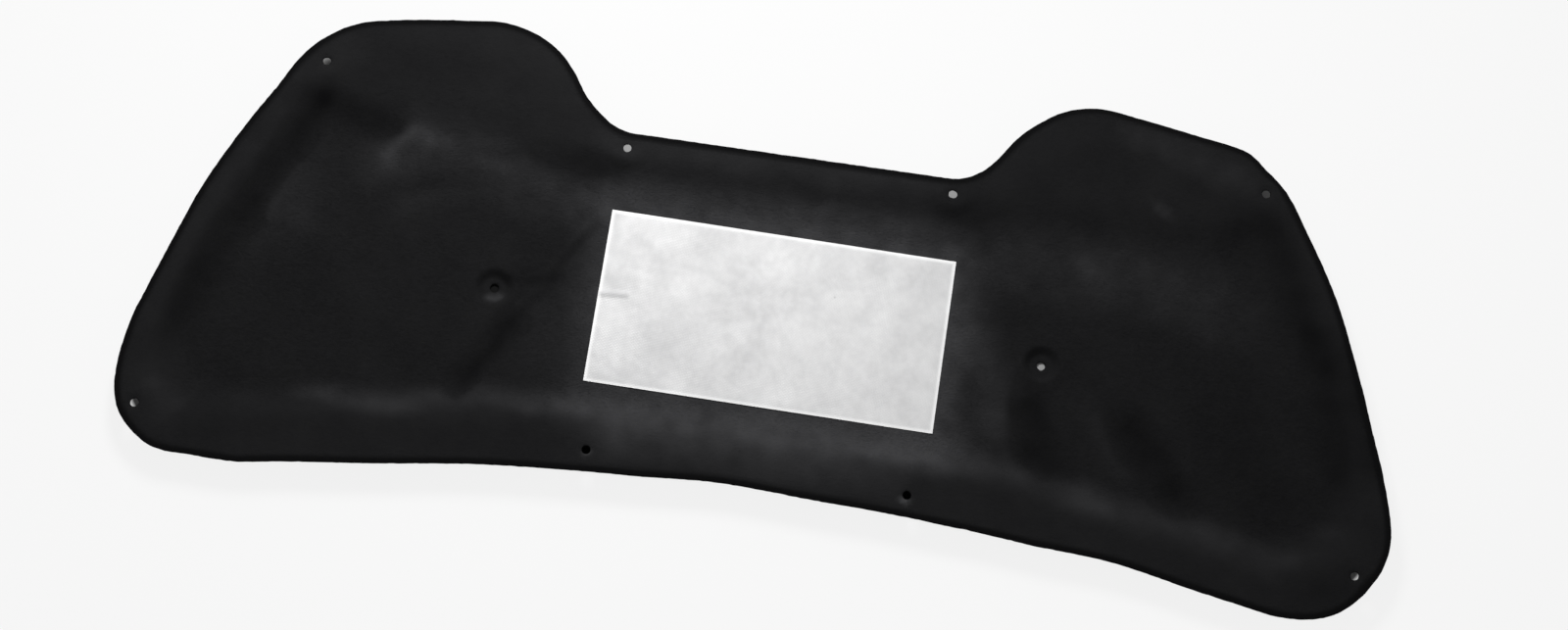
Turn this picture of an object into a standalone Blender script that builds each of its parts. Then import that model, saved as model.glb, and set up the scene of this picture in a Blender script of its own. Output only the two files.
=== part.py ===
"""Hood insulation pad: one hot-pressed felt moulding with a heat reflecting patch at its centre.

The pad lies hood side down, so the side that faces the engine is up. X runs across the car, Y runs
to the front of the car and Z up. The origin is the middle of the pad's box, on what it lies on.
Everything is in metres.
"""
import math

import bmesh
import bpy
import numpy as np
from mathutils import Vector
from mathutils.geometry import delaunay_2d_cdt

# Die-cut outline, right half, with y counted from the middle of the rear edge. The corners are
# where two sides would meet before rounding
HALF_WIDTH = 0.646
CENTRE_DEPTH = 0.348
REAR_SWEEP = 0.076
SIDE_BOW = 0.037
EAR_OUTER_SETBACK = 0.168
EAR_OUTER_RISE = 0.073
EAR_INNER_RISE = 0.105
NOTCH_HALF_WIDTH = 0.184
NOTCH_FLANK = 0.088

# How far each rounding reaches along the sides that it joins
REAR_CORNER_REACH = 0.130
EAR_OUTER_REACH = 0.042
EAR_INNER_REACH = 0.054
NOTCH_REACH = 0.025

# Felt thickness: full in the body, less in the ears, hard pressed along the flange
FELT = 0.012
EAR_FELT = 0.006
PRESSED_FELT = 0.003

# The body is a dish that lies this far below the flange that runs round it
FLANGE_RISE = 0.027
REAR_FLANGE = 0.046
SIDE_FLANGE = 0.027
FRONT_FLANGE = 0.027
REAR_SLOPE = 0.036
SIDE_SLOPE = 0.026
FRONT_SLOPE = 0.026
EAR_STEP_CLIMB = 0.032
DISH_REAR_REACH = 0.080
DISH_SIDE_REACH = 0.045
DISH_FRONT_REACH = 0.040

# Each ear sinks softly to a shallow terrace between the flange and the dish
EAR_FLANGE = 0.032
EAR_SLOPE = 0.028
EAR_DEPTH = 0.006

# Raised panel under the patch, with flanks that run out to a groove on each side
PATCH_WIDTH = 0.350
PATCH_DEPTH = 0.180
PATCH_SHEET = 0.0008
PATCH_HEM = 0.004
PATCH_HEM_DROP = 0.0003
PATCH_GLUE_GAP = 0.0003
PATCH_TO_SLOPE = 0.002
PANEL_MARGIN = 0.005
PANEL_RISE = 0.006
GROOVE_START = 0.012
GROOVE_SPREAD = 0.54
GROOVE_DEPTH = 0.0025
GROOVE_HALF_WIDTH = 0.013

# Arched recess in each pocket beside the panel, and the soft fold that crosses the pocket's rear
ARCH_X = 0.322
ARCH_Y = 0.200
ARCH_RADIUS = 0.070
ARCH_EDGE = 0.022
ARCH_DEPTH = 0.0016
FOLD_X = 0.383
FOLD_Y = 0.094
FOLD_LENGTH = 0.075
FOLD_HALF_WIDTH = 0.018
FOLD_DEPTH = 0.0022

# Clip holes: four pairs in the flange, each placed from the corner or edge beside it, and a pair in
# the body, at the foot of round dimples in line with the middle of the patch
CLIP_HOLE = 0.009
CLIP_SEAT = 0.020
EAR_CLIP_OUTWARD = 0.003
EAR_CLIP_INSET = 0.042
CORNER_CLIP_INWARD = 0.042
CORNER_CLIP_INSET = 0.076
NOTCH_CLIP_INWARD = 0.018
NOTCH_CLIP_INSET = 0.016
REAR_CLIP_X = 0.159
REAR_CLIP_INSET = 0.0216
DIMPLE_FROM_PANEL = 0.097
DIMPLE_WIDTH = 0.044

# Fineness of the faceted surface
SIDE_STEPS = 20
ROUND_STEPS = 9
HOLE_STEPS = 12
DIMPLE_STEPS = 18
SLOPE_ROWS = (0.0, 0.22, 0.5, 0.78, 1.0)
GRID = 0.0178
CLEAR_OF_LINES = 0.5

REAR_CORNER = (HALF_WIDTH, -REAR_SWEEP)
EAR_OUTER = (HALF_WIDTH - EAR_OUTER_SETBACK, CENTRE_DEPTH + EAR_OUTER_RISE)
EAR_INNER = (NOTCH_HALF_WIDTH + NOTCH_FLANK, CENTRE_DEPTH + EAR_INNER_RISE)
NOTCH = (NOTCH_HALF_WIDTH, CENTRE_DEPTH)
HALF_PANEL = PATCH_WIDTH / 2 + PANEL_MARGIN
PATCH_REAR_Y = REAR_FLANGE + REAR_SLOPE + PATCH_TO_SLOPE
PATCH_FRONT_Y = PATCH_REAR_Y + PATCH_DEPTH
REAR_EDGE_AT_CLIP = -REAR_SWEEP * (REAR_CLIP_X / HALF_WIDTH) ** 2
BODY_CLIP = (HALF_PANEL + DIMPLE_FROM_PANEL, (PATCH_REAR_Y + PATCH_FRONT_Y) / 2)
FLANGE_CLIPS = ((EAR_OUTER[0] + EAR_CLIP_OUTWARD, EAR_OUTER[1] - EAR_CLIP_INSET),
                (REAR_CORNER[0] - CORNER_CLIP_INWARD, REAR_CORNER[1] + CORNER_CLIP_INSET),
                (NOTCH[0] - NOTCH_CLIP_INWARD, NOTCH[1] - NOTCH_CLIP_INSET),
                (REAR_CLIP_X, REAR_EDGE_AT_CLIP + REAR_CLIP_INSET))


def clear_scene():
    for item in list(bpy.data.objects):
        bpy.data.objects.remove(item, do_unlink=True)


def material(name, colour, roughness, metallic):
    """A plain Principled finish."""
    made = bpy.data.materials.new(name)
    made.use_nodes = True
    shader = made.node_tree.nodes["Principled BSDF"]
    shader.inputs["Base Color"].default_value = (*colour, 1.0)
    shader.inputs["Roughness"].default_value = roughness
    shader.inputs["Metallic"].default_value = metallic
    return made


def smooth(share):
    """Eases a share between 0 and 1, level at both ends."""
    share = np.clip(share, 0.0, 1.0)
    return share * share * (3.0 - 2.0 * share)


def unit(vector):
    return vector / np.linalg.norm(vector)


# Plan curves

def bowed(start, end, bow):
    """A side from start to end whose middle stands out to the right by bow."""
    start, end = np.array(start), np.array(end)
    along = unit(end - start)
    outward = np.array([along[1], -along[0]])
    share = np.linspace(0.0, 1.0, SIDE_STEPS)[:, None]
    return start + share * (end - start) + 4.0 * share * (1.0 - share) * bow * outward


def swept(middle_y, corner):
    """The rear side, from the centre line out to its corner, curving back as it goes."""
    share = np.linspace(0.0, 1.0, SIDE_STEPS)
    return np.column_stack([share * corner[0], middle_y + share ** 2 * (corner[1] - middle_y)])


def cut_back(side, head, tail):
    """The same side without a length at its head and a length at its tail."""
    run = np.concatenate([[0.0], np.cumsum(np.linalg.norm(np.diff(side, axis=0), axis=1))])
    head = min(head, 0.45 * run[-1])
    tail = min(tail, 0.45 * run[-1])
    kept = np.linspace(head, run[-1] - tail, SIDE_STEPS)
    return np.column_stack([np.interp(kept, run, side[:, axis]) for axis in (0, 1)])


def rounding(before, after):
    """Points of the round that leaves one side and joins the next."""
    leave, arrive = unit(before[-1] - before[-2]), unit(after[1] - after[0])
    start, end = before[-1], after[0]
    turn = max(math.acos(float(np.clip(leave @ arrive, -1.0, 1.0))), 1e-3)
    radius = np.linalg.norm(end - start) / (2.0 * math.sin(turn / 2.0))
    handle = 4.0 / 3.0 * math.tan(turn / 4.0) * radius
    share = np.linspace(0.0, 1.0, ROUND_STEPS + 2)[1:-1, None]
    rest = 1.0 - share
    return (rest ** 3 * start + 3 * rest ** 2 * share * (start + leave * handle)
            + 3 * rest * share ** 2 * (end - arrive * handle) + share ** 3 * end)


def joined(sides, reaches):
    """One half loop, from the centre line round to the centre line, with its corners rounded."""
    heads, tails = (0.0, *reaches), (*reaches, 0.0)
    cut = [cut_back(*each) for each in zip(sides, heads, tails)]
    parts = [cut[0]]
    for before, after in zip(cut, cut[1:]):
        parts += [rounding(before, after), after]
    return np.vstack(parts)


def outline_sides():
    return [swept(0.0, REAR_CORNER), bowed(REAR_CORNER, EAR_OUTER, SIDE_BOW),
            bowed(EAR_OUTER, EAR_INNER, 0.0), bowed(EAR_INNER, NOTCH, 0.0),
            bowed(NOTCH, (0.0, CENTRE_DEPTH), 0.0)]


def inset_corner(before, after, width_before, width_after):
    """Where two sides meet once each has moved inward by its own width."""
    directions = [unit(before[-1] - before[-2]), unit(after[1] - after[0])]
    inward = np.array([(-along[1], along[0]) for along in directions])
    return before[-1] + np.linalg.solve(inward, (width_before, width_after))


def dish_loop(rear_width, side_width, front_width):
    """Half loop of the dish, with each stretch its own width inside the outline."""
    rear, side, ear_top = outline_sides()[:3]
    rear_corner = inset_corner(rear, side, rear_width, side_width)
    side_end = inset_corner(side, ear_top, side_width, 0.0)
    full_side = bowed(rear_corner, side_end, SIDE_BOW)
    front_y = CENTRE_DEPTH - front_width
    step_y = front_y + EAR_STEP_CLIMB
    step_corner = (np.interp(step_y, full_side[:, 1], full_side[:, 0]), step_y)
    kept_side = np.vstack([full_side[full_side[:, 1] < step_y], step_corner])
    notch_corner = (NOTCH_HALF_WIDTH, front_y)
    sides = [swept(rear_width, rear_corner), kept_side,
             bowed(step_corner, notch_corner, 0.0), bowed(notch_corner, (0.0, front_y), 0.0)]
    return joined(sides, (DISH_REAR_REACH, DISH_SIDE_REACH, DISH_FRONT_REACH))


OUTLINE = joined(outline_sides(), (REAR_CORNER_REACH, EAR_OUTER_REACH, EAR_INNER_REACH, NOTCH_REACH))
DISH_RIM = dish_loop(REAR_FLANGE, SIDE_FLANGE, FRONT_FLANGE)
DISH_FOOT = dish_loop(REAR_FLANGE + REAR_SLOPE, SIDE_FLANGE + SIDE_SLOPE, FRONT_FLANGE + FRONT_SLOPE)
MIDDLE_Y = (OUTLINE[:, 1].min() + OUTLINE[:, 1].max()) / 2


# Where a point lies in the plan

def distance_to(loop, points):
    """How far each point is from a half loop."""
    start, step = loop[:-1], np.diff(loop, axis=0)
    offset = points[:, None, :] - start[None]
    share = np.clip((offset * step).sum(2) / (step ** 2).sum(1), 0.0, 1.0)
    return np.linalg.norm(offset - share[..., None] * step, axis=2).min(axis=1)


def inside(loop, points):
    """Whether each point of the right half lies within a half loop."""
    x, y = points[:, 0][:, None], points[:, 1][:, None]
    x0, y0 = loop[:-1].T
    x1, y1 = loop[1:].T
    crosses = (y0 > y) != (y1 > y)
    rise = np.where(y1 == y0, 1.0, y1 - y0)
    return (crosses & (x < x0 + (y - y0) / rise * (x1 - x0))).sum(axis=1) % 2 == 1


def share_between(rim, foot, points):
    """0 outside the rim, 1 inside the foot and an even slope between them."""
    to_rim, to_foot = distance_to(rim, points), distance_to(foot, points)
    share = to_rim / (to_rim + to_foot)
    share[inside(foot, points)] = 1.0
    share[~inside(rim, points) & (to_rim > 1e-6)] = 0.0
    return share


# Relief, as heights over what the pad lies on

def groove_x(y):
    """The groove's distance from the centre line: it spreads from the patch's front corners."""
    return HALF_PANEL + GROOVE_START + np.maximum(PATCH_FRONT_Y - y, 0.0) * GROOVE_SPREAD


def panel_height(x, y):
    """Raised panel: level under the patch, falling along each flank to the groove."""
    return PANEL_RISE * (1.0 - smooth((x - HALF_PANEL) / (groove_x(y) - HALF_PANEL)))


def groove_dip(x, y):
    """V groove with soft shoulders, which fades out in front of the patch."""
    across = (x - groove_x(y)) / math.hypot(1.0, GROOVE_SPREAD)
    fade = smooth((PATCH_FRONT_Y - y) / GROOVE_HALF_WIDTH)
    return GROOVE_DEPTH * fade * (1.0 - smooth(np.abs(across) / GROOVE_HALF_WIDTH))


def arch_dip(x, y):
    """Shallow recess with a round front end, open to the rear."""
    reach = np.hypot(x - ARCH_X, np.maximum(y - ARCH_Y, 0.0))
    return ARCH_DEPTH * (1.0 - smooth((reach - ARCH_RADIUS) / ARCH_EDGE))


def fold_dip(x, y):
    """Soft fold along the same slant as the groove."""
    slant = unit(np.array([GROOVE_SPREAD, -1.0]))
    along = (x - FOLD_X) * slant[0] + (y - FOLD_Y) * slant[1]
    across = (x - FOLD_X) * -slant[1] + (y - FOLD_Y) * slant[0]
    ends = 1.0 - smooth(np.abs(along) / (FOLD_LENGTH / 2))
    return FOLD_DEPTH * ends * (1.0 - smooth(np.abs(across) / FOLD_HALF_WIDTH))


def dimple_dip(x, y):
    """Round dimple that presses the felt down to a flat clip seat."""
    reach = np.hypot(x - BODY_CLIP[0], y - BODY_CLIP[1])
    share = (reach - CLIP_SEAT / 2) / (DIMPLE_WIDTH / 2 - CLIP_SEAT / 2)
    return (FELT - PRESSED_FELT) * (1.0 - smooth(share))


def heights(points):
    """Engine side and hood side height of the felt at each point of the right half."""
    x, y = points.T
    pressed_in = groove_dip(x, y) + arch_dip(x, y) + fold_dip(x, y)
    pressed_in = np.maximum(np.minimum(pressed_in, FELT - PRESSED_FELT), dimple_dip(x, y))
    body_under = panel_height(x, y)
    body_top = body_under + FELT - pressed_in
    in_front = y > CENTRE_DEPTH / 2
    ear = np.where(in_front, smooth((distance_to(OUTLINE, points) - EAR_FLANGE) / EAR_SLOPE), 0.0)
    rim_top = FLANGE_RISE + PRESSED_FELT - EAR_DEPTH * ear
    rim_under = rim_top - PRESSED_FELT - (EAR_FELT - PRESSED_FELT) * ear
    dish = smooth(share_between(DISH_RIM, DISH_FOOT, points))
    return rim_top + (body_top - rim_top) * dish, rim_under + (body_under - rim_under) * dish


# Plan mesh of the right half

def ring(centre, width, steps):
    turns = np.arange(steps) * 2.0 * math.pi / steps
    return np.column_stack([centre[0] + width / 2 * np.cos(turns), centre[1] + width / 2 * np.sin(turns)])


def groove_rows():
    """The panel's edge, the middle of its flank, and the groove with its outer shoulder."""
    y = np.arange(DISH_FOOT[0, 1], DISH_FOOT[-1, 1], GRID)
    middle = groove_x(y)
    shoulder = GROOVE_HALF_WIDTH * math.hypot(1.0, GROOVE_SPREAD)
    rows = []
    for x in (np.full_like(y, HALF_PANEL), (HALF_PANEL + middle) / 2, middle, middle + shoulder):
        row = np.column_stack([x, y])
        row = row[inside(DISH_FOOT, row)]
        rows.append(row[np.linalg.norm(row - BODY_CLIP, axis=1) > DIMPLE_WIDTH / 2])
    return rows


def ear_rows():
    """Rows along the top, the middle and the foot of the soft slope round each ear."""
    along = np.gradient(OUTLINE, axis=0)
    inward = np.column_stack([-along[:, 1], along[:, 0]]) / np.linalg.norm(along, axis=1)[:, None]
    rows = []
    for depth in (EAR_FLANGE, EAR_FLANGE + EAR_SLOPE / 2, EAR_FLANGE + EAR_SLOPE):
        row = OUTLINE + depth * inward
        in_ear = (row[:, 1] > CENTRE_DEPTH / 2) & inside(OUTLINE, row) & ~inside(DISH_RIM, row)
        row = row[in_ear]
        rows.append(row[distance_to(OUTLINE, row) > depth * 0.98])
    return rows


def clear_of(points, taken, gap):
    """The points that lie at least a gap from every point that is already taken."""
    spread = np.linalg.norm(points[:, None, :] - taken[None], axis=2)
    return points[spread.min(axis=1) > gap]


def plan_lines():
    """Lines that the surface has to follow, as (points, is closed), and rows of single points."""
    lines = [(OUTLINE, False)]
    lines += [(DISH_RIM + row * (DISH_FOOT - DISH_RIM), False) for row in SLOPE_ROWS]
    for clip in FLANGE_CLIPS:
        lines += [(ring(clip, width, HOLE_STEPS), True) for width in (CLIP_HOLE, CLIP_SEAT)]
    dimple_rings = (CLIP_HOLE, CLIP_SEAT, *np.linspace(CLIP_SEAT, DIMPLE_WIDTH, 4)[1:])
    lines += [(ring(BODY_CLIP, width, DIMPLE_STEPS), True) for width in dimple_rings]
    for row in groove_rows() + ear_rows():
        taken = np.vstack([points for points, _ in lines])
        lines.append((clear_of(row, taken, GRID * CLEAR_OF_LINES), None))
    return lines


def grid_points(taken):
    """A staggered grid over the dish and the ears, clear of the lines. The flange needs none."""
    row_gap = GRID * math.sqrt(3.0) / 2
    points = []
    for row, y in enumerate(np.arange(OUTLINE[:, 1].min(), OUTLINE[:, 1].max(), row_gap)):
        first = GRID / 2 if row % 2 else 0.0
        points += [(x, y) for x in np.arange(first, OUTLINE[:, 0].max(), GRID)]
    points = np.array(points)
    in_dish = inside(DISH_FOOT, points + (1e-6, 0.0))
    in_ear = inside(OUTLINE, points) & ~inside(DISH_RIM, points) & (points[:, 1] > CENTRE_DEPTH / 2)
    points = points[in_dish | (in_ear & (distance_to(OUTLINE, points) > EAR_FLANGE))]
    points = points[np.linalg.norm(points - BODY_CLIP, axis=1) > DIMPLE_WIDTH / 2]
    return clear_of(points, taken, GRID * CLEAR_OF_LINES)


def plan_mesh():
    """Triangles of the right half between the outline and the holes."""
    coords, edges = [], []
    for points, closed in plan_lines():
        first, count = len(coords), len(points)
        coords += [tuple(point) for point in points]
        if closed is not None:
            edges += [(first + step, first + step + 1) for step in range(count - 1)]
        if closed:
            edges.append((first + count - 1, first))
    edges.append((len(OUTLINE) - 1, 0))
    coords += [tuple(point) for point in grid_points(np.array(coords))]
    verts, _, faces, *_ = delaunay_2d_cdt([Vector(point) for point in coords], edges, [], 1, 1e-6)
    verts = np.array([tuple(vert) for vert in verts])
    verts[np.abs(verts[:, 0]) < 1e-5, 0] = 0.0
    middles = np.array([verts[list(face)].mean(axis=0) for face in faces])
    keep = inside(OUTLINE, middles)
    for clip in (*FLANGE_CLIPS, BODY_CLIP):
        keep &= np.linalg.norm(middles - clip, axis=1) > CLIP_HOLE / 2
    return verts, [face for face, kept in zip(faces, keep) if kept]


def add_walls(mesh, tops, unders):
    """Closes the cut edges, apart from the centre line where the halves join."""
    for edge in [each for each in mesh.edges if len(each.link_faces) == 1]:
        a, b = edge.link_loops[0].vert, edge.link_loops[0].link_loop_next.vert
        if a not in tops or (a.co.x == 0.0 and b.co.x == 0.0):
            continue
        mesh.faces.new((b, a, unders[tops[a]], unders[tops[b]]))


def felt_pad():
    """Engine side and hood side skins with a cut wall between them, mirrored to the left half."""
    plan, faces = plan_mesh()
    tops, unders = heights(plan)
    mesh = bmesh.new()
    upper = [mesh.verts.new((x, y - MIDDLE_Y, z)) for (x, y), z in zip(plan, tops)]
    lower = [mesh.verts.new((x, y - MIDDLE_Y, z)) for (x, y), z in zip(plan, unders)]
    for face in faces:
        mesh.faces.new([upper[corner] for corner in face])
        mesh.faces.new([lower[corner] for corner in reversed(face)])
    add_walls(mesh, {vert: index for index, vert in enumerate(upper)}, lower)
    bmesh.ops.delete(mesh, geom=[vert for vert in mesh.verts if not vert.link_faces], context="VERTS")
    data = bpy.data.meshes.new("felt_pad")
    mesh.to_mesh(data)
    mesh.free()
    data.shade_smooth()
    data.set_sharp_from_angle(angle=math.radians(40.0))
    data.materials.append(material("black_needled_felt", (0.012, 0.012, 0.013), 0.95, 0.0))
    pad = bpy.data.objects.new("felt_pad", data)
    bpy.context.collection.objects.link(pad)
    mirror = pad.modifiers.new("other_half", "MIRROR")
    mirror.use_axis = (True, False, False)
    mirror.use_clip = True
    mirror.merge_threshold = 0.0001
    return pad


def foil_patch():
    """Thin foil faced cloth with a pressed hem, laid on the raised panel."""
    mesh = bmesh.new()
    bmesh.ops.create_cube(mesh, size=1.0)
    hem_sheet = PATCH_SHEET - PATCH_HEM_DROP
    bmesh.ops.scale(mesh, verts=mesh.verts, vec=(PATCH_WIDTH, PATCH_DEPTH, hem_sheet))
    bmesh.ops.translate(mesh, verts=mesh.verts, vec=(0.0, 0.0, hem_sheet / 2))
    mesh.normal_update()
    face = [each for each in mesh.faces if each.normal.z > 0.5]
    bmesh.ops.inset_region(mesh, faces=face, thickness=PATCH_HEM, use_even_offset=True)
    bmesh.ops.inset_region(mesh, faces=face, thickness=PATCH_HEM / 4, depth=PATCH_HEM_DROP)
    bmesh.ops.triangulate(mesh, faces=mesh.faces)
    data = bpy.data.meshes.new("foil_patch")
    mesh.to_mesh(data)
    mesh.free()
    data.materials.append(material("foil_faced_glass_cloth", (0.72, 0.72, 0.72), 0.45, 0.3))
    patch = bpy.data.objects.new("foil_patch", data)
    bpy.context.collection.objects.link(patch)
    centre_y = (PATCH_REAR_Y + PATCH_FRONT_Y) / 2 - MIDDLE_Y
    patch.location = (0.0, centre_y, PANEL_RISE + FELT + PATCH_GLUE_GAP)
    return patch


def main():
    clear_scene()
    felt_pad()
    foil_patch()


main()
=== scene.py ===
import math
from functools import cache

import bpy
import numpy as np
from bpy.props import FloatProperty, FloatVectorProperty, PointerProperty
from bpy.types import Operator, Panel, PropertyGroup
from mathutils import Matrix, Vector, noise
from mathutils.geometry import delaunay_2d_cdt


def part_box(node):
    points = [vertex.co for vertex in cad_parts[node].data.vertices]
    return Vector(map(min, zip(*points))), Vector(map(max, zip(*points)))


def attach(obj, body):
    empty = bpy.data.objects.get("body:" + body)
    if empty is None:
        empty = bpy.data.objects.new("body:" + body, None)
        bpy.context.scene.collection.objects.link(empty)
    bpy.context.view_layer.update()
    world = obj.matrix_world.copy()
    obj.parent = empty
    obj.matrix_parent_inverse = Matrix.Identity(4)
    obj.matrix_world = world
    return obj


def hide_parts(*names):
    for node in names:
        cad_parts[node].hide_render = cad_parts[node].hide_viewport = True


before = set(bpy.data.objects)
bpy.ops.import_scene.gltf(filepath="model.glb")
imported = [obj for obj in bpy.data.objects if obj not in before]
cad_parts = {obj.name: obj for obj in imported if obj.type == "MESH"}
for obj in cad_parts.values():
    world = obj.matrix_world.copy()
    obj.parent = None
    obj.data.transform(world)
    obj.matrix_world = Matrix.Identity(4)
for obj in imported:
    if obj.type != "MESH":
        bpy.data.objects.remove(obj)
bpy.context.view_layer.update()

bl_info = {
    "name": "Hood Insulation Pad",
    "version": (1, 0, 0),
    "blender": (4, 5, 0),
    "location": "3D View > Sidebar > Hood Pad",
    "description": "Moulds a black felt hood pad with its foil patch and sets a plain stage for it",
    "category": "Add Mesh",
}

PAD_LOW, PAD_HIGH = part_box("felt_pad")
PATCH_LOW, PATCH_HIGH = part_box("foil_patch")

# Die-cut outline, right half, with y counted from the middle of the rear edge. The corners are
# where two sides would meet before rounding
HALF_WIDTH = 0.646
CENTRE_DEPTH = 0.348
REAR_SWEEP = 0.076
SIDE_BOW = 0.037
EAR_OUTER_SETBACK = 0.168
EAR_OUTER_RISE = 0.073
EAR_INNER_RISE = 0.105
NOTCH_HALF_WIDTH = 0.184
NOTCH_FLANK = 0.088

# How far each rounding reaches along the sides that it joins
REAR_CORNER_REACH = 0.130
EAR_OUTER_REACH = 0.042
EAR_INNER_REACH = 0.054
NOTCH_REACH = 0.025

# Felt thickness: full in the body, less in the ears, hard pressed along the flange
FELT = 0.012
EAR_FELT = 0.006
PRESSED_FELT = 0.003

# The body is a dish below the flange that runs round it
FLANGE_TOP = PAD_HIGH.z
REAR_FLANGE = 0.046
SIDE_FLANGE = 0.027
FRONT_FLANGE = 0.027
REAR_SLOPE = 0.036
SIDE_SLOPE = 0.026
FRONT_SLOPE = 0.026
EAR_STEP_CLIMB = 0.032
DISH_REAR_REACH = 0.080
DISH_SIDE_REACH = 0.045
DISH_FRONT_REACH = 0.040

# Each ear sinks softly to a shallow terrace
EAR_FLANGE = 0.032
EAR_SLOPE = 0.028
EAR_DEPTH = 0.006

# Raised panel under the patch, with flanks that run out to a groove on each side
PATCH_TO_SLOPE = 0.002
PANEL_MARGIN = 0.005
PANEL_RISE = 0.006
GROOVE_START = 0.012
GROOVE_SPREAD = 0.54
GROOVE_DEPTH = 0.0025
GROOVE_HALF_WIDTH = 0.013

# Arched recess in each pocket beside the panel, and the soft fold that crosses the pocket's rear
ARCH_X = 0.322
ARCH_Y = 0.200
ARCH_RADIUS = 0.070
ARCH_EDGE = 0.022
ARCH_DEPTH = 0.0016
FOLD_X = 0.383
FOLD_Y = 0.094
FOLD_LENGTH = 0.075
FOLD_HALF_WIDTH = 0.018
FOLD_DEPTH = 0.0022

# Clip holes
CLIP_HOLE = 0.009
CLIP_SEAT = 0.020
CLIP_SEAT_DEPTH = 0.0004
EAR_CLIP_OUTWARD = 0.003
EAR_CLIP_INSET = 0.042
CORNER_CLIP_INWARD = 0.042
CORNER_CLIP_INSET = 0.076
NOTCH_CLIP_INWARD = 0.018
NOTCH_CLIP_INSET = 0.016
REAR_CLIP_X = 0.159
REAR_CLIP_INSET = 0.0216
DIMPLE_FROM_PANEL = 0.097
DIMPLE_WIDTH = 0.044

# Cut edge of the felt: it is squeezed as it is die cut, and its wall bulges and frays a little. A dark
# band along it is partly squeezed felt and partly painted shade
EDGE_ROLL = 0.0007
EDGE_ROLL_WIDTH = 0.0024
EDGE_BULGE = 0.0004
WALL_ROWS = (0.2, 0.5, 0.8)
EDGE_SHADE = 2.0
EDGE_SHADE_WIDTH = 0.0085

# Thick felt rounds off its moulded steps, most of all in front, where the ears sink into the pockets
SOFT_ROUNDS = 4
SOFTEST_ROUNDS = 32
SOFTEST_FROM_Y = 0.045
SOFTEST_TO_Y = 0.100
FIRM_CLEARANCE = 0.016

# The next three tables are in millimetres, from the middle of the pad
PER_METRE = 1000.0

# What use and handling have left in one half or the other: soft folds, as how far each rises, how
# far it reaches to either side, and the points that it runs through
HAND_FOLDS = {
    "left pocket brow": (1.6, 10, ((-409, 44), (-405, 91), (-384, 126))),
    "left ear step": (1.4, 13, ((-384, 126), (-357, 113), (-272, 122), (-180, 92))),
    "left groove": (-3.6, 17, ((-252, -41), (-272, -80), (-291, -114), (-312, -134))),
    "left dimple fold": (-1.2, 7, ((-225, 2), (-262, -10))),
    "right valley": (-2.4, 27, ((349, -62), (377, -97), (408, -125), (430, -143))),
    "right ridge": (0.6, 18, ((347, -73), (368, -113), (388, -138))),
    "right groove": (-2.4, 26, ((262, -60), (276, -95), (292, -128))),
    "right rear brow": (0.9, 16, ((189, -146), (248, -148), (346, -162), (503, -185))),
    "right ear brow": (1, 11, ((332, 223), (387, 212), (431, 204))),
}

# Where the cut wandered from the tool's outline or the felt has pulled, as how far it moved, how far
# around it did, and the place
HAND_CUT = {
    "left side": ((2.7, -1.3), 110, (-605, -50)),
    "left ear": ((0, 3.2), 120, (-394, 239)),
    "left ear corner": ((-1.8, 1.8), 40, (-511, 179)),
    "left ear flank": ((-2.6, -1.8), 34, (-215, 181)),
    "right ear flank": ((-2.4, 2.2), 36, (223, 206)),
    "right ear corner": ((-3.6, -3.4), 50, (478, 211)),
    "right ear front": ((0.2, -1.6), 75, (342, 239)),
    "right ear edge": ((0.2, -1.8), 65, (416, 227)),
    "right ear tip": ((0.2, 2.6), 26, (464, 218)),
    "right side": ((1.8, 0.4), 80, (559, 86)),
    "right corner": ((4.6, -1.2), 105, (632, -131)),
    "right rear corner": ((0.4, -3), 60, (590, -236)),
    "right rear edge": ((0, 4), 95, (371, -219)),
    "middle rear edge": ((0, 3.2), 95, (-24, -194)),
    "left rear edge": ((0, -2.6), 110, (-363, -223)),
    "left corner": ((1, 7.5), 52, (-539, -242)),
    "left corner side": ((4.2, 0), 60, (-630, -159)),
}
HAND_CUT_DEPTH = 0.055
HAND_CUT_EASE = 0.010
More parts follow.
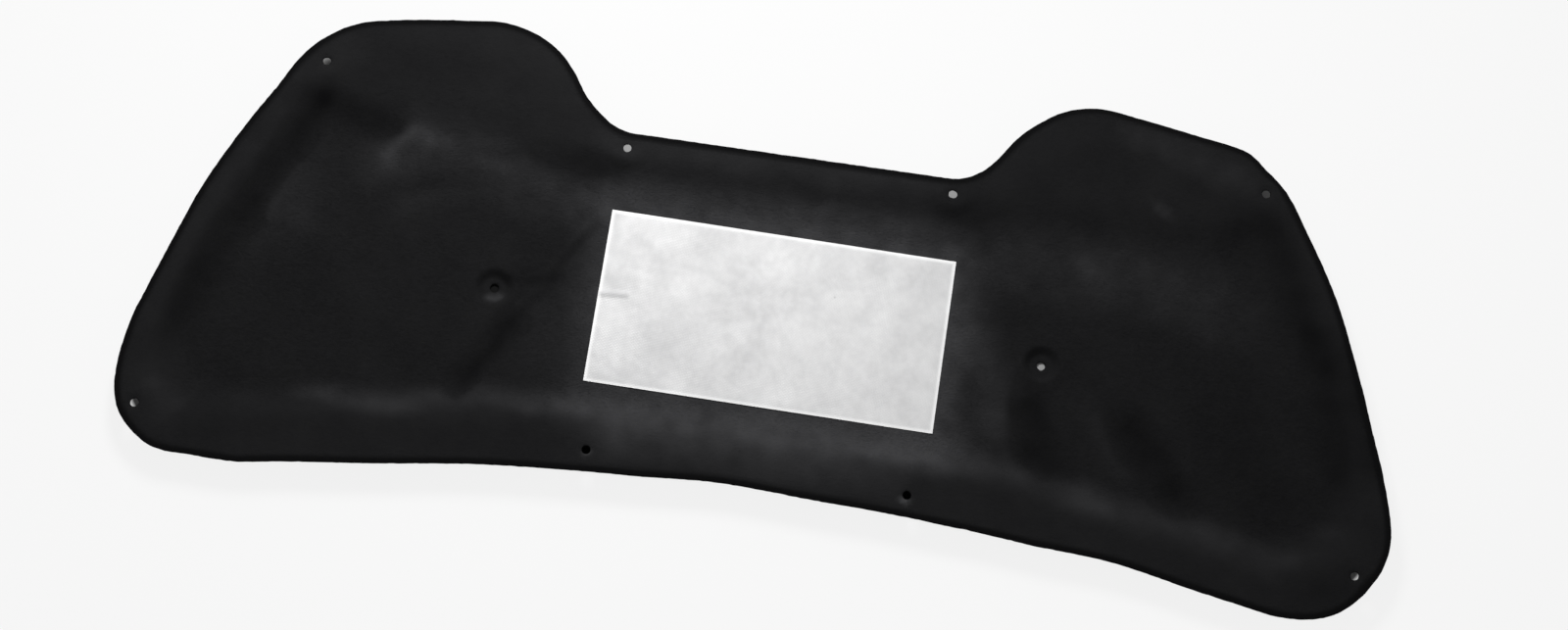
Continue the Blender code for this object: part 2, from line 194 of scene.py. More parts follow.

# Painted light and shade on the felt, lighter on lit slopes and hole lips, darker where shade falls,
# as how much, how far it reaches, and the points that it runs through
PAINTED_LIGHT_AND_SHADE = {
    "left pocket brow": (0.43, 42, ((-413, 83), (-379, 117), (-324, 115), (-261, 101), (-196, 71))),
    "left brow mark": (0.31, 15, ((-405, 84), (-402, 107), (-380, 128), (-341, 112))),
    "left brow spot": (0.30, 9, ((-399, 114), (-382, 130), (-365, 113))),
    "left pocket top": (0.28, 70, ((-498, 84), (-514, 8))),
    "left arc": (0.14, 22, ((-393, 40), (-364, 56), (-326, 70), (-281, 69), (-243, 48))),
    "left pocket": (-0.06, 60, ((-386, -102), (-323, -67))),
    "left flank": (0.12, 40, ((-219, -26), (-220, -108))),
    "left groove": (-0.75, 19, ((-249, -53), (-270, -90), (-297, -134))),
    "left groove top": (-0.27, 9, ((-183, 60), (-220, 0), (-251, -55))),
    "left branch": (-0.45, 9, ((-215, -4), (-274, -15))),
    "left rear blob": (0.29, 16, ((-452, -158), (-413, -158))),
    "left rear band": (0.31, 22, ((-424, -159), (-355, -162), (-295, -141), (-238, -136), (-159, -136))),
    "left rear mark": (0.17, 18, ((-231, -146), (-178, -139))),
    "left side top": (-0.60, 24, ((-471, 155), (-501, 99), (-535, 13))),
    "left side": (-0.38, 26, ((-528, 32), (-565, -61), (-580, -115))),
    "left ear step": (-0.50, 24, ((-504, 141), (-464, 145), (-406, 127))),
    "left ear corner": (-0.30, 22, ((-269, 121), (-178, 112))),
    "left rear flange": (-0.12, 26, ((-543, -206), (-426, -206), (-216, -180))),
    "front flange": (0.17, 30, ((-206, 135), (-7, 141), (154, 141))),
    "front slope": (0.34, 26, ((-188, 93), (-11, 97), (159, 97))),
    "front of patch": (0.34, 16, ((-178, 79), (2, 76), (177, 76))),
    "middle rear slope": (0.80, 36, ((-174, -139), (31, -134), (207, -132))),
    "middle rear flange": (0.40, 34, ((-150, -167), (-4, -163), (143, -166))),
    "notch end": (-0.30, 24, ((156, 121), (200, 128))),
    "right of patch": (0.30, 30, ((184, 44), (186, -38), (187, -109))),
    "right ear": (-0.10, 80, ((275, 173), (370, 177))),
    "right ear streak": (0.21, 24, ((335, 225), (402, 205), (458, 190))),
    "right ear spot": (0.26, 15, ((374, 158), (388, 148))),
    "right ear step": (-0.50, 26, ((449, 144), (501, 154))),
    "right side top": (-0.50, 28, ((494, 142), (530, 80), (558, 14))),
    "right side": (-0.45, 30, ((549, 36), (576, -42), (590, -110))),
    "right pocket top": (0.31, 60, ((197, 75), (300, 84), (415, 74), (468, 53))),
    "right spot": (0.31, 17, ((300, 86), (321, 79))),
    "right pocket": (-0.10, 60, ((413, -45), (510, -39))),
    "right pocket rear": (-0.24, 60, ((477, -76), (520, -136))),
    "right flank": (0.44, 38, ((205, 11), (229, -57), (236, -110))),
    "right groove": (-0.62, 33, ((266, -55), (280, -105), (304, -144))),
    "right valley": (-0.55, 34, ((366, -62), (398, -107), (431, -145))),
    "right ridge": (0.12, 20, ((328, -63), (350, -100), (375, -134))),
    "right rear band": (0.38, 29, ((109, -130), (194, -138), (282, -141), (345, -160))),
    "right rear tail": (0.23, 31, ((332, -160), (416, -172), (470, -178))),
    "right rear end": (0.20, 28, ((471, -180), (517, -196), (555, -198))),
    "right rear spot": (0.12, 16, ((561, -154), (582, -155))),
    "right side flange": (-0.75, 28, ((588, 21), (608, -37), (622, -96))),
    "right rear corner": (-0.36, 32, ((557, -214), (604, -208))),
    "left corner": (0.14, 35, ((-598, -169), (-566, -209))),
    "right ear rim": (0.10, 16, ((353, 244), (426, 225))),
    # Painted light on the lit lower walls of the left dimple's hole and of the rear holes
    "left dimple lip": (0.69, 6, ((-283, -34), (-275, -34), (-269, -30))),
    "left rear hole lip": (0.90, 6, ((-161, -186), (-155, -185))),
    "right rear hole lip": (0.90, 6, ((154, -185), (161, -185))),
}
# How far the painted light and shade wander, how strong they are and how they break up
TONE_WANDER = 0.006
TONE_WANDER_SIZE = 0.035
TONE_LEVEL = 0.9
TONE_BREAK_UP = 0.35
TONE_BREAK_UP_SIZE = 0.018
# Painted light round the patch: how strong, how far it reaches and how fast it falls off
PATCH_PAINTED_LIGHT = 0.85
PATCH_PAINTED_LIGHT_REACH = 0.045
PATCH_PAINTED_LIGHT_FALL = 1.5

# How a fold or a line of painted light and shade fades towards its two ends: what it keeps there,
# and how soon it is full
FOLD_ENDS = 0.15
TONE_ENDS = 0.5
ENDS_EASE = 4.0

# Soft lumps have finer ones in them, are calmer in pressed felt and show less on the hood side. The
# cut edge wanders in long waves and in nicks, and in rags down its wall
FINE_LUMPS = 0.4
FINER = 3
NAP_STEPS = 3
PRESSED_CALM = 0.75
HOOD_SIDE_LUMPS = 0.5
FRAY_WAVE = 0.030
FRAY_NICK = 0.006
FRAY_NICK_SHARE = 0.7
FRAY_RAG = 0.004

# Foil patch: laid by hand a little off the middle, with a pressed hem, one pinched crease, and soft
# waves with ripples in them
PATCH_SHIFT = (0.0026, 0.0025)
PATCH_TURN = math.radians(-0.60)
PATCH_HEM = 0.005
PATCH_CREASE = ((-0.1685, -0.0190), (-0.1450, -0.0170))
CREASE_REACH = 0.0050
PATCH_GRID = 0.0018
PATCH_SHEET = 0.0007
WAVE_SIZE = 0.045
RIPPLE_SIZE = 0.018
RIPPLE_SHARE = 0.5
WAVE_LIFT = 1.4
HEM_CALM = 0.8

# Finishes: what the felt is like where it is free and where it is pressed, and what both have
FELT_ROUGHNESS = 0.97
PRESSED_ROUGHNESS = 0.80
STRANDS_SEEN = 0.55
PRESSED_STRANDS_SEEN = 0.25
PRESSED_NAP = 0.45
TUFT_HEIGHT = 1.6
FELT_SHINE = 0.06
FUZZ_ROUGHNESS = 0.45
LINT_GAP = 0.006
CUT_ENDS_SEEN = 0.8
# How the mottling breaks up the painted light
PAINTED_LIGHT_SPAN = (0.2, 0.8)
PAINTED_LIGHT_LEAST = 0.75
# Where the cut edge's dark band, partly painted shade, starts and is full
EDGE_SHADE_SPAN = (-1.0, -1.8)

# The foil is uneven in broad areas and in small ones, rougher where it is dull, and has a few specks
FOIL_AREA = 0.035
SMALL_FOIL_AREA = 0.008
SMALL_AREA_SHARE = 0.35
DULL_ROUGHNESS = 0.62
BRIGHT_ROUGHNESS = 0.46
WEAVE_SEEN = 0.25
HEM_SPAN = (0.05, 0.7)
HEM_SEEN = 0.75
# Painted shade in the pinched crease
CREASE_SHADE_SEEN = 0.3
SPECK_GAP = 0.012
SPECK_AMOUNT = 0.12
SPECKS_SEEN = 0.5

# Patterns that the finishes share: how the fibres cross and how long they are drawn, and where each
# pattern's noise, speck or thread starts and is full
FIBRE_TURNS = (0.2, 1.15, 2.3)
FIBRE_DRAW = 0.14
FIBRE_WIDTH = 0.07
TUFT_SCALE = 0.22
TUFT_SPAN = (0.3, 0.7)
MOTTLE_SPAN = (0.32, 0.68)
SPECK_SPAN = (0.04, 0.14)
THREAD_SPAN = (-0.2, 0.2)

# Stage: the floor loses its plain white below the pad and has painted shade there, from one distance
# inside the outline to another, a little to the front of it, so that no shade shows past the rear edge
# from above. It has painted deep shadow below the rear flange and the left dimple, each as how far from
# the rear edge, the centre line or the hole the shade starts and ends
FLOOR_SIZE = 30.0
FLOOR_GAP = 0.0002
COVER_FADE = (0.005, 0.011)
COVER_FORWARD = 0.008
COVER_STEP = 0.012
FLANGE_SHADE_FADE_IN = (0.0125, 0.0225)
FLANGE_SHADE_FADE_OUT = (0.120, 0.140)
FLANGE_SHADE_SIDE = (0.400, 0.520)
DIMPLE_SHADE_SIDE = (0.0060, 0.0070)
PAPER = 0.85
COVERED_PAPER_SHADE = 0.42
SHADED_PAPER = 0.012
PAPER_SHINE = 0.5
PAPER_ROUGHNESS = 0.9
WHITE = (1.0, 1.0, 1.0, 1.0)
SENSOR_WIDTH = 36.0

# Fineness of curves and rings
SIDE_STEPS = 40
ROUND_STEPS = 22
HOLE_STEPS = 24
DIMPLE_STEPS = 42
RING_GAP = 0.0022
CLEAR_OF_LINES = 0.6
LOOP_CHUNK = 2000
SHARP_ANGLE = math.radians(48.0)
SAME_POINT = 1e-7
TINY = 1e-6
SNAP_TO_MIDDLE = 1e-5

# Places that follow from the sizes above, in the right half, with y from the middle of the rear
# edge. Only the patch's middle is counted from the middle of the pad
REAR_CORNER = (HALF_WIDTH, -REAR_SWEEP)
EAR_OUTER = (HALF_WIDTH - EAR_OUTER_SETBACK, CENTRE_DEPTH + EAR_OUTER_RISE)
EAR_INNER = (NOTCH_HALF_WIDTH + NOTCH_FLANK, CENTRE_DEPTH + EAR_INNER_RISE)
NOTCH = (NOTCH_HALF_WIDTH, CENTRE_DEPTH)
PATCH_SIZE = PATCH_HIGH - PATCH_LOW
PATCH_MIDDLE = ((PATCH_LOW.x + PATCH_HIGH.x) / 2 + PATCH_SHIFT[0],
                (PATCH_LOW.y + PATCH_HIGH.y) / 2 + PATCH_SHIFT[1])
HALF_PANEL = PATCH_SIZE.x / 2 + PANEL_MARGIN
PATCH_REAR_Y = REAR_FLANGE + REAR_SLOPE + PATCH_TO_SLOPE
PATCH_FRONT_Y = PATCH_REAR_Y + PATCH_SIZE.y
REAR_EDGE_AT_CLIP = -REAR_SWEEP * (REAR_CLIP_X / HALF_WIDTH) ** 2
BODY_CLIP = (HALF_PANEL + DIMPLE_FROM_PANEL, (PATCH_REAR_Y + PATCH_FRONT_Y) / 2)
FLANGE_CLIPS = ((EAR_OUTER[0] + EAR_CLIP_OUTWARD, EAR_OUTER[1] - EAR_CLIP_INSET),
                (REAR_CORNER[0] - CORNER_CLIP_INWARD, REAR_CORNER[1] + CORNER_CLIP_INSET),
                (NOTCH[0] - NOTCH_CLIP_INWARD, NOTCH[1] - NOTCH_CLIP_INSET),
                (REAR_CLIP_X, REAR_EDGE_AT_CLIP + REAR_CLIP_INSET))
HOLES = (*FLANGE_CLIPS, BODY_CLIP)


# Small helpers

def smooth(share):
    """Eases a share between 0 and 1, level at both ends."""
    share = np.clip(share, 0.0, 1.0)
    return share * share * (3.0 - 2.0 * share)


def fall(share):
    """The same turned round: 1 at 0 and 0 at 1."""
    return 1.0 - smooth(share)


def unit(vector):
    return vector / np.linalg.norm(vector)


def in_parts(points):
    """The points a part at a time, to spare memory."""
    return np.array_split(points, len(points) // LOOP_CHUNK + 1)


def run_along(line):
    """How far along the line each of its points is."""
    return np.concatenate([[0.0], np.cumsum(np.linalg.norm(np.diff(line, axis=0), axis=1))])


def points_at(line, runs):
    """Points of the line that are this far along it."""
    return np.column_stack([np.interp(runs, run_along(line), line[:, axis]) for axis in (0, 1)])


def lumps(points, size, layer):
    """Smooth random values from about -1 to 1, with lumps of about this size. Each layer differs."""
    return np.array([noise.noise(Vector((x / size, y / size, layer))) for x, y in points])


# Plan curves, right half

def bowed(start, end, bow):
    """A side from start to end whose middle stands out to the right by bow."""
    start, end = np.array(start), np.array(end)
    along = unit(end - start)
    outward = np.array([along[1], -along[0]])
    share = np.linspace(0.0, 1.0, SIDE_STEPS)[:, None]
    return start + share * (end - start) + 4.0 * share * (1.0 - share) * bow * outward


def swept(middle_y, corner):
    """The rear side, from the centre line out to its corner, curving back as it goes."""
    share = np.linspace(0.0, 1.0, SIDE_STEPS)
    return np.column_stack([share * corner[0], middle_y + share ** 2 * (corner[1] - middle_y)])


def cut_back(side, head, tail):
    """The same side without a length at its head and a length at its tail."""
    return points_at(side, np.linspace(head, run_along(side)[-1] - tail, SIDE_STEPS))


def rounding(before, after):
    """Points of the round that leaves one side and joins the next."""
    leave, arrive = unit(before[-1] - before[-2]), unit(after[1] - after[0])
    start, end = before[-1], after[0]
    turn = math.acos(float(np.clip(leave @ arrive, -1.0, 1.0)))
    radius = np.linalg.norm(end - start) / (2.0 * math.sin(turn / 2.0))
    handle = 4.0 / 3.0 * math.tan(turn / 4.0) * radius
    share = np.linspace(0.0, 1.0, ROUND_STEPS + 2)[1:-1, None]
    rest = 1.0 - share
    return (rest ** 3 * start + 3 * rest ** 2 * share * (start + leave * handle)
            + 3 * rest * share ** 2 * (end - arrive * handle) + share ** 3 * end)


def joined(sides, reaches):
    """One half loop, from the centre line round to the centre line, with its corners rounded."""
    heads, tails = (0.0, *reaches), (*reaches, 0.0)
    cut = [cut_back(*each) for each in zip(sides, heads, tails)]
    parts = [cut[0]]
    for before, after in zip(cut, cut[1:]):
        parts += [rounding(before, after), after]
    return np.vstack(parts)


def outline_sides():
    return [swept(0.0, REAR_CORNER), bowed(REAR_CORNER, EAR_OUTER, SIDE_BOW),
            bowed(EAR_OUTER, EAR_INNER, 0.0), bowed(EAR_INNER, NOTCH, 0.0),
            bowed(NOTCH, (0.0, CENTRE_DEPTH), 0.0)]


def inset_corner(before, after, width_before, width_after):
    """Where two sides meet once each has moved inward by its own width."""
    directions = [unit(before[-1] - before[-2]), unit(after[1] - after[0])]
    inward = np.array([(-along[1], along[0]) for along in directions])
    return before[-1] + np.linalg.solve(inward, (width_before, width_after))


def dish_loop(rear_width, side_width, front_width):
    """Half loop of the dish, with each stretch its own width inside the outline."""
    rear, side, ear_top = outline_sides()[:3]
    rear_corner = inset_corner(rear, side, rear_width, side_width)
    side_end = inset_corner(side, ear_top, side_width, 0.0)
    full_side = bowed(rear_corner, side_end, SIDE_BOW)
    front_y = CENTRE_DEPTH - front_width
    step_y = front_y + EAR_STEP_CLIMB
    step_corner = (np.interp(step_y, full_side[:, 1], full_side[:, 0]), step_y)
    kept_side = np.vstack([full_side[full_side[:, 1] < step_y], step_corner])
    notch_corner = (NOTCH_HALF_WIDTH, front_y)
    sides = [swept(rear_width, rear_corner), kept_side,
             bowed(step_corner, notch_corner, 0.0), bowed(notch_corner, (0.0, front_y), 0.0)]
    return joined(sides, (DISH_REAR_REACH, DISH_SIDE_REACH, DISH_FRONT_REACH))


OUTLINE = joined(outline_sides(), (REAR_CORNER_REACH, EAR_OUTER_REACH, EAR_INNER_REACH, NOTCH_REACH))
DISH_RIM = dish_loop(REAR_FLANGE, SIDE_FLANGE, FRONT_FLANGE)
DISH_FOOT = dish_loop(REAR_FLANGE + REAR_SLOPE, SIDE_FLANGE + SIDE_SLOPE, FRONT_FLANGE + FRONT_SLOPE)
MIDDLE_Y = (OUTLINE[:, 1].min() + OUTLINE[:, 1].max()) / 2


def spaced(line, step):
    """The same line with its points an even step apart."""
    length = run_along(line)[-1]
    return points_at(line, np.linspace(0.0, length, int(length / step) + 1))


def moved_inward(line, width):
    """The line moved to its inner side, with its ends kept on the centre line."""
    along = np.gradient(line, axis=0)
    inward = np.column_stack([-along[:, 1], along[:, 0]]) / np.linalg.norm(along, axis=1)[:, None]
    inner = line + width * inward
    inner[[0, -1], 0] = 0.0
    return inner


# Where a point lies in the plan

def in_right_half(points):
    """The place in the right half's plan that each point of the pad has or mirrors, as x and y."""
    return np.abs(points[:, 0]), points[:, 1] + MIDDLE_Y


def to_flange_clip(x, y):
    """How far each point is from the middle of the nearest hole of the flange."""
    return np.min([np.hypot(x - clip[0], y - clip[1]) for clip in FLANGE_CLIPS], axis=0)


def to_body_clip(x, y):
    """How far each point is from the middle of the hole in the dimple."""
    return np.hypot(x - BODY_CLIP[0], y - BODY_CLIP[1])


def nearest_on(line, points):
    """How far each point is from a line, and where along the line it is nearest, from 0 to 1."""
    start, step = line[:-1], np.diff(line, axis=0)
    lengths = np.linalg.norm(step, axis=1)
    ends = run_along(line)
    distances, runs = [], []
    for part in in_parts(points):
        offset = part[:, None, :] - start[None]
        share = np.clip((offset * step).sum(2) / lengths ** 2, 0.0, 1.0)
        apart = np.linalg.norm(offset - share[..., None] * step, axis=2)
        nearest = apart.argmin(axis=1)
        rows = np.arange(len(part))
        distances.append(apart[rows, nearest])
        runs.append((ends[nearest] + share[rows, nearest] * lengths[nearest]) / ends[-1])
    return np.concatenate(distances), np.concatenate(runs)


def inside(loop, points):
    """Whether each point of the right half lies within a half loop."""
    x0, y0 = loop[:-1].T
    x1, y1 = loop[1:].T
    rise = np.where(y1 == y0, 1.0, y1 - y0)
    found = []
    for part in in_parts(points):
        x, y = part[:, 0][:, None], part[:, 1][:, None]
        crosses = (y0 > y) != (y1 > y)
        found.append((crosses & (x < x0 + (y - y0) / rise * (x1 - x0))).sum(axis=1) % 2 == 1)
    return np.concatenate(found)


def share_between(rim, foot, points):
    """0 outside the rim, 1 inside the foot and an even slope between them."""
    to_rim, to_foot = nearest_on(rim, points)[0], nearest_on(foot, points)[0]
    share = to_rim / (to_rim + to_foot)
    share[inside(foot, points)] = 1.0
    share[~inside(rim, points) & (to_rim > TINY)] = 0.0
    return share


# Moulded relief, the same in both halves

def groove_x(y):
    """The groove's distance from the centre line: it spreads from the patch's front corners."""
    return HALF_PANEL + GROOVE_START + np.maximum(PATCH_FRONT_Y - y, 0.0) * GROOVE_SPREAD


def panel_height(x, y):
    """Raised panel: level under the patch, falling along each flank to the groove."""
    return PANEL_RISE * fall((x - HALF_PANEL) / (groove_x(y) - HALF_PANEL))


def groove_dip(x, y):
    """V groove with soft shoulders, which fades out in front of the patch."""
    across = (x - groove_x(y)) / math.hypot(1.0, GROOVE_SPREAD)
    fade = smooth((PATCH_FRONT_Y - y) / GROOVE_HALF_WIDTH)
    return GROOVE_DEPTH * fade * fall(np.abs(across) / GROOVE_HALF_WIDTH)


def arch_dip(x, y):
    """Shallow recess with a round front end, open to the rear."""
    reach = np.hypot(x - ARCH_X, np.maximum(y - ARCH_Y, 0.0))
    return ARCH_DEPTH * fall((reach - ARCH_RADIUS) / ARCH_EDGE)


def fold_dip(x, y):
    """Soft fold along the same slant as the groove."""
    slant = unit(np.array([GROOVE_SPREAD, -1.0]))
    along = (x - FOLD_X) * slant[0] + (y - FOLD_Y) * slant[1]
    across = (x - FOLD_X) * -slant[1] + (y - FOLD_Y) * slant[0]
    ends = fall(np.abs(along) / (FOLD_LENGTH / 2))
    return FOLD_DEPTH * ends * fall(np.abs(across) / FOLD_HALF_WIDTH)


def dimple_share(x, y):
    """1 on the flat seat of the round dimple, 0 outside the dimple."""
    return fall((to_body_clip(x, y) - CLIP_SEAT / 2) / (DIMPLE_WIDTH / 2 - CLIP_SEAT / 2))


def seat_dip(x, y):
    """The faint print that a clip's head leaves round each hole of the flange."""
    return CLIP_SEAT_DEPTH * fall(to_flange_clip(x, y) / CLIP_SEAT * 4.0 - 1.0)


def edge_roll(x, y, to_outline):
    """How far the felt's surface rolls over at its cut edges."""
    to_hole = np.minimum(to_flange_clip(x, y), to_body_clip(x, y)) - CLIP_HOLE / 2
    to_edge = np.minimum(to_outline, to_hole)
    return EDGE_ROLL * fall(to_edge / EDGE_ROLL_WIDTH)


def moulded(points):
    """Engine side and hood side height of the felt, and how far each point is from the outline."""
    x, y = points.T
    to_outline = nearest_on(OUTLINE, points)[0]
    pressed_in = np.minimum(groove_dip(x, y) + arch_dip(x, y) + fold_dip(x, y), FELT - PRESSED_FELT)
    pressed_in = np.maximum(pressed_in, (FELT - PRESSED_FELT) * dimple_share(x, y))
    body_under = panel_height(x, y)
    body_top = body_under + FELT - pressed_in
    in_front = y > CENTRE_DEPTH / 2
    ear = np.where(in_front, smooth((to_outline - EAR_FLANGE) / EAR_SLOPE), 0.0)
    rim_top = FLANGE_TOP - EAR_DEPTH * ear - seat_dip(x, y)
    rim_under = FLANGE_TOP - PRESSED_FELT - EAR_DEPTH * ear - (EAR_FELT - PRESSED_FELT) * ear
    dish = smooth(share_between(DISH_RIM, DISH_FOOT, points))
    roll = edge_roll(x, y, to_outline)
    top = rim_top + (body_top - rim_top) * dish - roll
    under = rim_under + (body_under - rim_under) * dish + roll / 2
    return top, under, to_outline


# Plan mesh

def ring(centre, width, steps):
    turns = np.arange(steps) * 2.0 * math.pi / steps
    return np.column_stack([centre[0] + width / 2 * np.cos(turns), centre[1] + width / 2 * np.sin(turns)])


def plan_loops(step):
    """The lines that the mesh follows, as (points, is closed)."""
    edge = spaced(OUTLINE, step)
    loops = [(edge, False), (moved_inward(edge, EDGE_ROLL_WIDTH / 2), False)]
    for clip in FLANGE_CLIPS:
        widths = (CLIP_HOLE, CLIP_HOLE + EDGE_ROLL_WIDTH, CLIP_HOLE + 3 * EDGE_ROLL_WIDTH)
        loops += [(ring(clip, width, HOLE_STEPS), True) for width in widths]
    rings = 1 + math.ceil((DIMPLE_WIDTH - CLIP_HOLE) / 2 / RING_GAP)
    loops += [(ring(BODY_CLIP, width, DIMPLE_STEPS), True)
              for width in np.linspace(CLIP_HOLE, DIMPLE_WIDTH, rings)]
    return loops


def staggered_grid(step, taken):
    """Points of a staggered grid that lie within the outline and clear of the lines."""
    points = []
    for row, y in enumerate(np.arange(OUTLINE[:, 1].min(), OUTLINE[:, 1].max(), step * math.sqrt(3.0) / 2)):
        first = step / 2 if row % 2 else 0.0
        points += [(x, y) for x in np.arange(first, OUTLINE[:, 0].max(), step)]
    points = np.array(points)
    points = points[inside(OUTLINE, points + (TINY, 0.0))]
    points = points[np.linalg.norm(points - BODY_CLIP, axis=1) > DIMPLE_WIDTH / 2]
    kept = []
    for part in in_parts(points):
        apart = np.linalg.norm(part[:, None, :] - taken[None], axis=2).min(axis=1)
        kept.append(part[apart > step * CLEAR_OF_LINES])
    return np.vstack(kept)


def triangulated(coords, edges, extent):
    """Plan points and triangles that follow these edges: in their hull with extent 0, else within them."""
    plan, _, faces, *_ = delaunay_2d_cdt([Vector(point) for point in coords], edges, [], extent, SAME_POINT)
    return np.array([tuple(point) for point in plan]), np.array(faces)


def half_plan(step):
    """Points and triangles of the right half between the outline and the holes."""
    coords, edges = [], []
    for points, closed in plan_loops(step):
        first, count = len(coords), len(points)
        coords += [tuple(point) for point in points]
        edges += [(first + each, first + each + 1) for each in range(count - 1)]
        if closed:
            edges.append((first + count - 1, first))
        elif first == 0:
            edges.append((count - 1, 0))
    coords += [tuple(point) for point in staggered_grid(step, np.array(coords))]
    plan, faces = triangulated(coords, edges, 1)
    plan[np.abs(plan[:, 0]) < SNAP_TO_MIDDLE, 0] = 0.0
    middles = plan[faces].mean(axis=1)
    keep = inside(OUTLINE, middles)
    for clip in HOLES:
        keep &= np.linalg.norm(middles - clip, axis=1) > CLIP_HOLE / 2
    used, faces = np.unique(faces[keep], return_inverse=True)
    return plan[used], faces.reshape(-1, 3)


def both_halves(plan, faces):
    """The whole plan, and for each of its points the point of the right half that it repeats."""
    off_centre = np.flatnonzero(plan[:, 0] > 0.0)
    twin = np.arange(len(plan))
    twin[off_centre] = len(plan) + np.arange(len(off_centre))
    whole = np.vstack([plan, plan[off_centre] * (-1.0, 1.0)])
    source = np.concatenate([np.arange(len(plan)), off_centre])
    return whole, np.vstack([faces, twin[faces][:, ::-1]]), source


def sides_of(faces):
    """The directed edges of all the triangles, as rows of (from, to)."""
    return np.vstack([faces[:, [0, 1]], faces[:, [1, 2]], faces[:, [2, 0]]])


def cut_edges(faces):
    """Directed edges that only one triangle has."""
    edges = sides_of(faces)
    size = faces.max() + 1
    forward = edges[:, 0] * size + edges[:, 1]
    backward = edges[:, 1] * size + edges[:, 0]
    return edges[~np.isin(forward, backward)]


def spread_out(values, faces, rounds):
    """Each value averaged with its neighbours', a number of times."""
    edges = sides_of(faces)
    ends, others = np.concatenate([edges[:, 0], edges[:, 1]]), np.concatenate([edges[:, 1], edges[:, 0]])
    count = np.bincount(ends, minlength=len(values))
    for _ in range(rounds):
        values = np.bincount(ends, values[others], len(values)) / count
    return values


# Felt

def firmness(points, to_outline):
    """1 where the felt keeps its moulded height, as at its edge, its holes and the patch, else 0."""
    place = in_right_half(points)
    near = np.minimum(to_outline, beyond_patch(points))
    near = np.minimum(near, to_flange_clip(*place) - CLIP_SEAT / 2)
    near = np.minimum(near, np.maximum(to_body_clip(*place) - DIMPLE_WIDTH / 2, 0.0))
    return fall(near / FIRM_CLEARANCE)


def softened(heights, faces, firm, front):
    """Heights with their steps rounded off, more so towards the front."""
    soft = spread_out(heights, faces, SOFT_ROUNDS)
    softest = spread_out(soft, faces, SOFTEST_ROUNDS)
    rounded = soft + front * (softest - soft)
    return rounded + firm * (heights - rounded)


def near_lines(table, points, ends):
    """What the lines of a table add at each point of the pad, fading sideways and towards their ends."""
    total = np.zeros(len(points))
    for amount, reach, line in table.values():
        apart, run = nearest_on(np.array(line) / PER_METRE, points)
        along = smooth(np.minimum(run, 1.0 - run) * ENDS_EASE + ends)
        total += amount * along * fall(apart * PER_METRE / reach)
    return total


def hand_cut(points, to_outline):
    """How far the cut edge and the felt next to it lie from the tool's outline."""
    to_clip = to_flange_clip(*in_right_half(points))
    free = smooth((to_clip - CLIP_SEAT / 2) / HAND_CUT_EASE) * fall(to_outline / HAND_CUT_DEPTH)
    moved = np.zeros_like(points)
    for shift, reach, place in HAND_CUT.values():
        apart = np.linalg.norm(points * PER_METRE - place, axis=1)
        moved += fall(apart / reach)[:, None] * shift
    return moved * free[:, None] / PER_METRE


def painted_light_and_shade_at(points):
    """How much light or shade is painted on the felt at each point, with painted light round the patch."""
    wander = np.column_stack([lumps(points, TONE_WANDER_SIZE, layer) for layer in (21.0, 22.0)])
    # Painted light round the patch
    glow = np.clip(1.0 - beyond_patch(points) / PATCH_PAINTED_LIGHT_REACH, 0.0, 1.0) ** PATCH_PAINTED_LIGHT_FALL
    painted_shading = PATCH_PAINTED_LIGHT * glow + near_lines(PAINTED_LIGHT_AND_SHADE, points + TONE_WANDER * wander, TONE_ENDS)
    return painted_shading * (TONE_LEVEL + TONE_BREAK_UP * lumps(points, TONE_BREAK_UP_SIZE, 23.0))


def beyond_patch(points):
    """How far each point of the pad lies outside the patch."""
    beyond = np.abs(points - PATCH_MIDDLE) - (PATCH_SIZE.x / 2, PATCH_SIZE.y / 2)
    return np.linalg.norm(np.maximum(beyond, 0.0), axis=1)


